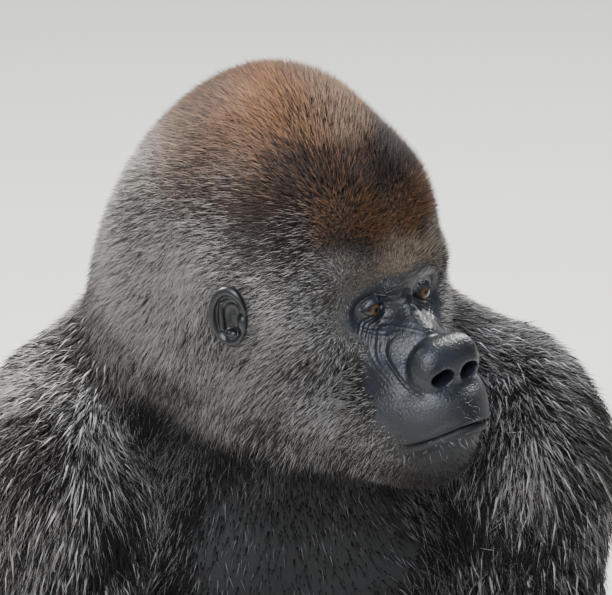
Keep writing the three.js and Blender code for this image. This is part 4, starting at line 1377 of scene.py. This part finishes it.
# Corners of a tuft: one ring at the root and a tip, or a second ring between them. Faces, heights and sides.
straight = {
    "faces": [(0, 1, 3), (1, 2, 3), (2, 0, 3), (0, 2, 1)],
    "levels": [0, 0, 0, 1],
    "sides": [-1, 0, 1, 0],
}
bent = {
    "faces": [
        *[(0, 1, 4), (0, 4, 3), (1, 2, 5), (1, 5, 4), (2, 0, 3), (2, 3, 5)],
        *[(3, 4, 6), (4, 5, 6), (5, 3, 6), (0, 2, 1)],
    ],
    "levels": [0, 0, 0, 0.5, 0.5, 0.5, 1],
    "sides": [-1, 0, 1, -1, 0, 1, 0],
}


def varied(pair, count):
    return pair[0] + pair[1] * dice.random(count)


def tuftCage(spec, root, up, lie, aim, long, wide):
    # Three-sided rings across the hair, drawn together to one point at its tip
    across = unit(np.cross(up, lie))
    other = np.cross(across, aim)
    half, flat = hair["half"]
    spokes = [across * math.cos(a) * half + other * math.sin(a) * flat for a in np.radians([90, 210, 330])]
    ring = np.stack(spokes, 1) * wide[:, None, None]
    layers = [(root - up * spec["sink"])[:, None] + ring]
    tip = root + aim * long[:, None]
    if spec["bent"]:
        # Starts steeper and bends over to lie along the body
        middle = root + unit(aim + up * hair["bendUp"]) * long[:, None] * hair["bendAt"]
        tip = middle + unit(aim - up * hair["bendDown"]) * long[:, None] * (1 - hair["bendAt"])
        layers.append(middle[:, None] + ring * hair["bendWidth"])
    cage = np.concatenate(layers + [tip[:, None]], 1)
    cage[:, :, 2] = np.maximum(cage[:, :, 2], stance["floor"])
    return cage


def tufts(name, weigh, finish):
    spec = coat[name]
    count = spec["count"] // 1
    root, up, dense = scatter(count, weigh)
    looks, depth = looksAt(root), coatDepth(root)
    # A hair's lift follows from its length and the depth of the coat it has to fill
    long = looks["long"] * varied(hair["length"], count)
    least, ends = hair["besideFace"]
    long *= np.clip(least + melt(mirrored(toHead(root)), bareFace) / ends, least, 1)
    share, proud = hair["proud"]
    mane = depth * varied(hair["fill"], count) * np.where(dice.random(count) < share, proud, 1)
    mane = np.clip(mane, hair["leastFill"], None)
    long = np.minimum(long, depth * hair["longest"][0] + hair["longest"][1])
    rise = np.clip(mane / long, *hair["rise"])
    if name == "whiskers":
        long, rise = varied(hair["whisker"], count), np.full(count, hair["whiskerRise"])
        looks["share"][:], looks["light"][:] = hair["whiskerPale"], silver
    lie = looks["lie"] + hair["sway"] * waves(root, 0.05, 3) + spec["spread"] * dice.normal(size=(count, 3))
    lie = unit(lie - (lie * up).sum(1)[:, None] * up)
    aim = unit(lie * np.sqrt(1 - rise ** 2)[:, None] + up * rise[:, None])
    # Widths grow with length up to a limit, and fewer hairs are wider ones, so that the skin stays hidden
    wide = spec["width"] * varied(hair["width"], count)
    wide = wide * np.clip(long / looks["long"].mean(), *hair["widthByLength"])
    wide *= np.clip(dense, hair["leastDense"], 1) ** (0 if name == "whiskers" else hair["sparsePower"])
    cage = tuftCage(spec, root, up, lie, aim, long, wide)
    form = bent if spec["bent"] else straight
    levels, sides, cells = np.array(form["levels"]), np.array(form["sides"]), np.array(form["faces"])
    patches = hair["patches"] * waves(root, 0.025, 21)[:, 0]
    isLight = dice.random(count) < np.clip(looks["share"] + patches, 0, 1)
    tone = np.where(isLight[:, None], looks["light"], looks["dark"]) * varied(hair["tone"], count)[:, None]
    shade = hair["rootTone"] + hair["tipGain"] * levels
    colours = tone[:, None, :] * shade[None, :, None]
    uv = unwrap(root)[:, None] + hair["uvHalf"] * np.stack([sides, levels * 2 - 1], 1)[None]
    each = coat["perPiece"] // len(cells)
    pieces = math.ceil(count / each)
    order = np.argsort(root[:, 2] + 3 * (root[:, 0] > 0), kind="stable")  # by side, then by height
    for number in range(pieces):
        mine = order[number * each : (number + 1) * each]
        start = np.arange(len(mine)) * len(levels)
        index = (start[:, None, None] + cells[None]).reshape(-1, 3)
        piece = newPiece(f"coat_{name}_{number + 1}", cage[mine].reshape(-1, 3), index, finish)
        paint(piece, "tone", colours[mine].reshape(-1, 3))
        addUv(piece, "OFBake", uv[mine].reshape(-1, 2))
    print(name, count, "tufts in", pieces, "pieces")


# Where each kind of hair grows
growth = {
    "short": ((0, -0.02, 0), (0.150, 0.200, 0.230)),
    "shortFade": 0.045,
    "long": ((0, -0.02, 0), (0.130, 0.180, 0.200)),
    "longFrom": (-0.010, 0.050),
    "mantle": ((0.20, -0.02, 0.72), (0.17, 0.20, 0.20)),  # neck and shoulders, where it is densest
    "elsewhere": 0.28,
    "ground": (0.004, 0.030),
    "brows": ((0.024, 0.116, 0.040), (0.010, 0.02, 0.007)),
    "underNose": ((0, 0.195, -0.070), (0.014, 0.02, 0.008)),
    "lock": (0.026, 0.040),
}


def shortHair(p):
    # The head, neck and tops of the shoulders
    away = np.maximum(ball(mirrored(toHead(p)), *growth["short"]), 0)
    return covered(p) * np.exp(-away / growth["shortFade"])


def longHair(p):
    q, m = mirrored(toHead(p)), mirrored(p)
    away = step(ball(q, *growth["long"]), *growth["longFrom"])
    front = growth["elsewhere"] + puff(m, *growth["mantle"])
    under = step(p[:, 2], *growth["ground"]) * 0.9 + 0.1
    return covered(p) * away * front * under


def whiskerHair(p):  # a few pale hairs on the brows, lips and chin
    q = mirrored(toHead(p))
    lips = bell(q[:, 2] - mouthLine(q[:, 0]) + 0.012, 0.010) * step(q[:, 1], 0.13, 0.16) * 0.10
    return puff(q, *growth["brows"]) + lips + puff(q, *growth["underNose"]) * 0.5


def lockHair(p):  # where the coat is longest
    return longHair(p) * step(looksAt(p)["long"], *growth["lock"])


print("coat at", time.time() - started)
tufts("head", shortHair, coatFinish("headFur", 0.62))
bodyFur = coatFinish("bodyFur", 0.55)
tufts("body", longHair, bodyFur)
tufts("whiskers", whiskerHair, bodyFur)
tufts("locks", lockHair, bodyFur)


# Floor, light and camera
print("studio")
ground = {"half": 60, "colour": (0.72, 0.72, 0.70, 1), "rough": 0.8}
half = ground["half"]
floorMesh = bpy.data.meshes.new("floor")
corner = [(-half, -half, 0), (half, -half, 0), (half, half, 0), (-half, half, 0)]
floorMesh.from_pydata(corner, [], [(0, 1, 2, 3)])
floor = addThing("floor", floorMesh)
floorPaint, tree = newFinish("floorPaint")
finishWith(tree, Base_Color=ground["colour"], Roughness=ground["rough"])
floorMesh.materials.append(floorPaint)

view = {
    "azimuth": -9,
    "elevation": 22,
    "distance": 6.0,
    "width": 0.612,  # of what the camera takes in, at the eyes
    "sensor": 36,
    "farthest": 60,
    "betweenEyes": (0, 0.115, 0.018),
    "eyesAt": (0.094, -0.0045),  # right of and over the middle of that
}
a, e = math.radians(view["azimuth"]), math.radians(view["elevation"])
right = np.array([math.cos(a), math.sin(a), 0])
back = np.array([math.sin(a) * math.cos(e), -math.cos(a) * math.cos(e), math.sin(e)])
over = np.cross(back, right)
aim = fromHead(view["betweenEyes"]) - right * view["eyesAt"][0] - over * view["eyesAt"][1]
cameraData = bpy.data.cameras.new("camera")
cameraData.sensor_width = view["sensor"]
cameraData.lens = view["sensor"] * view["distance"] / view["width"]
cameraData.clip_end = view["farthest"]
camera = addThing("camera", cameraData)
camera.location = Vector(aim + back * view["distance"])
camera.rotation_euler = Vector(back).to_track_quat("Z", "Y").to_euler()
bpy.context.scene.camera = camera

lights = {
    "key": {"from": (-2.2, 1.5, 3.3), "size": 1.1, "watts": 400, "colour": (1.0, 0.97, 0.92)},
    "front": {"from": (-1.1, -3.0, 2.6), "size": 1.6, "watts": 95, "colour": (1.0, 0.99, 0.97)},
    "sky": {"from": (0.2, -1.9, 3.1), "size": 1.4, "watts": 80, "colour": (0.82, 0.90, 1.0)},
    "rim": {"from": (2.0, 2.3, 2.6), "size": 1.0, "watts": 170, "colour": (1.0, 0.99, 0.96)},
}
studio = {"lightsMeet": (0, -0.05, 0.8), "air": (0.80, 0.86, 0.92, 1), "airStrength": 0.20}
for name, spec in lights.items():
    data = bpy.data.lights.new(name, "AREA")
    data.shape, data.size, data.energy, data.color = "DISK", spec["size"], spec["watts"], spec["colour"]
    lamp = addThing(name, data)
    lamp.location = Vector(spec["from"])
    toward = Vector(spec["from"]) - Vector(studio["lightsMeet"])
    lamp.rotation_euler = toward.to_track_quat("Z", "Y").to_euler()
world = bpy.data.worlds.new("studio")
world.use_nodes = True
background = world.node_tree.nodes["Background"]
background.inputs["Color"].default_value = studio["air"]
background.inputs["Strength"].default_value = studio["airStrength"]
bpy.context.scene.world = world
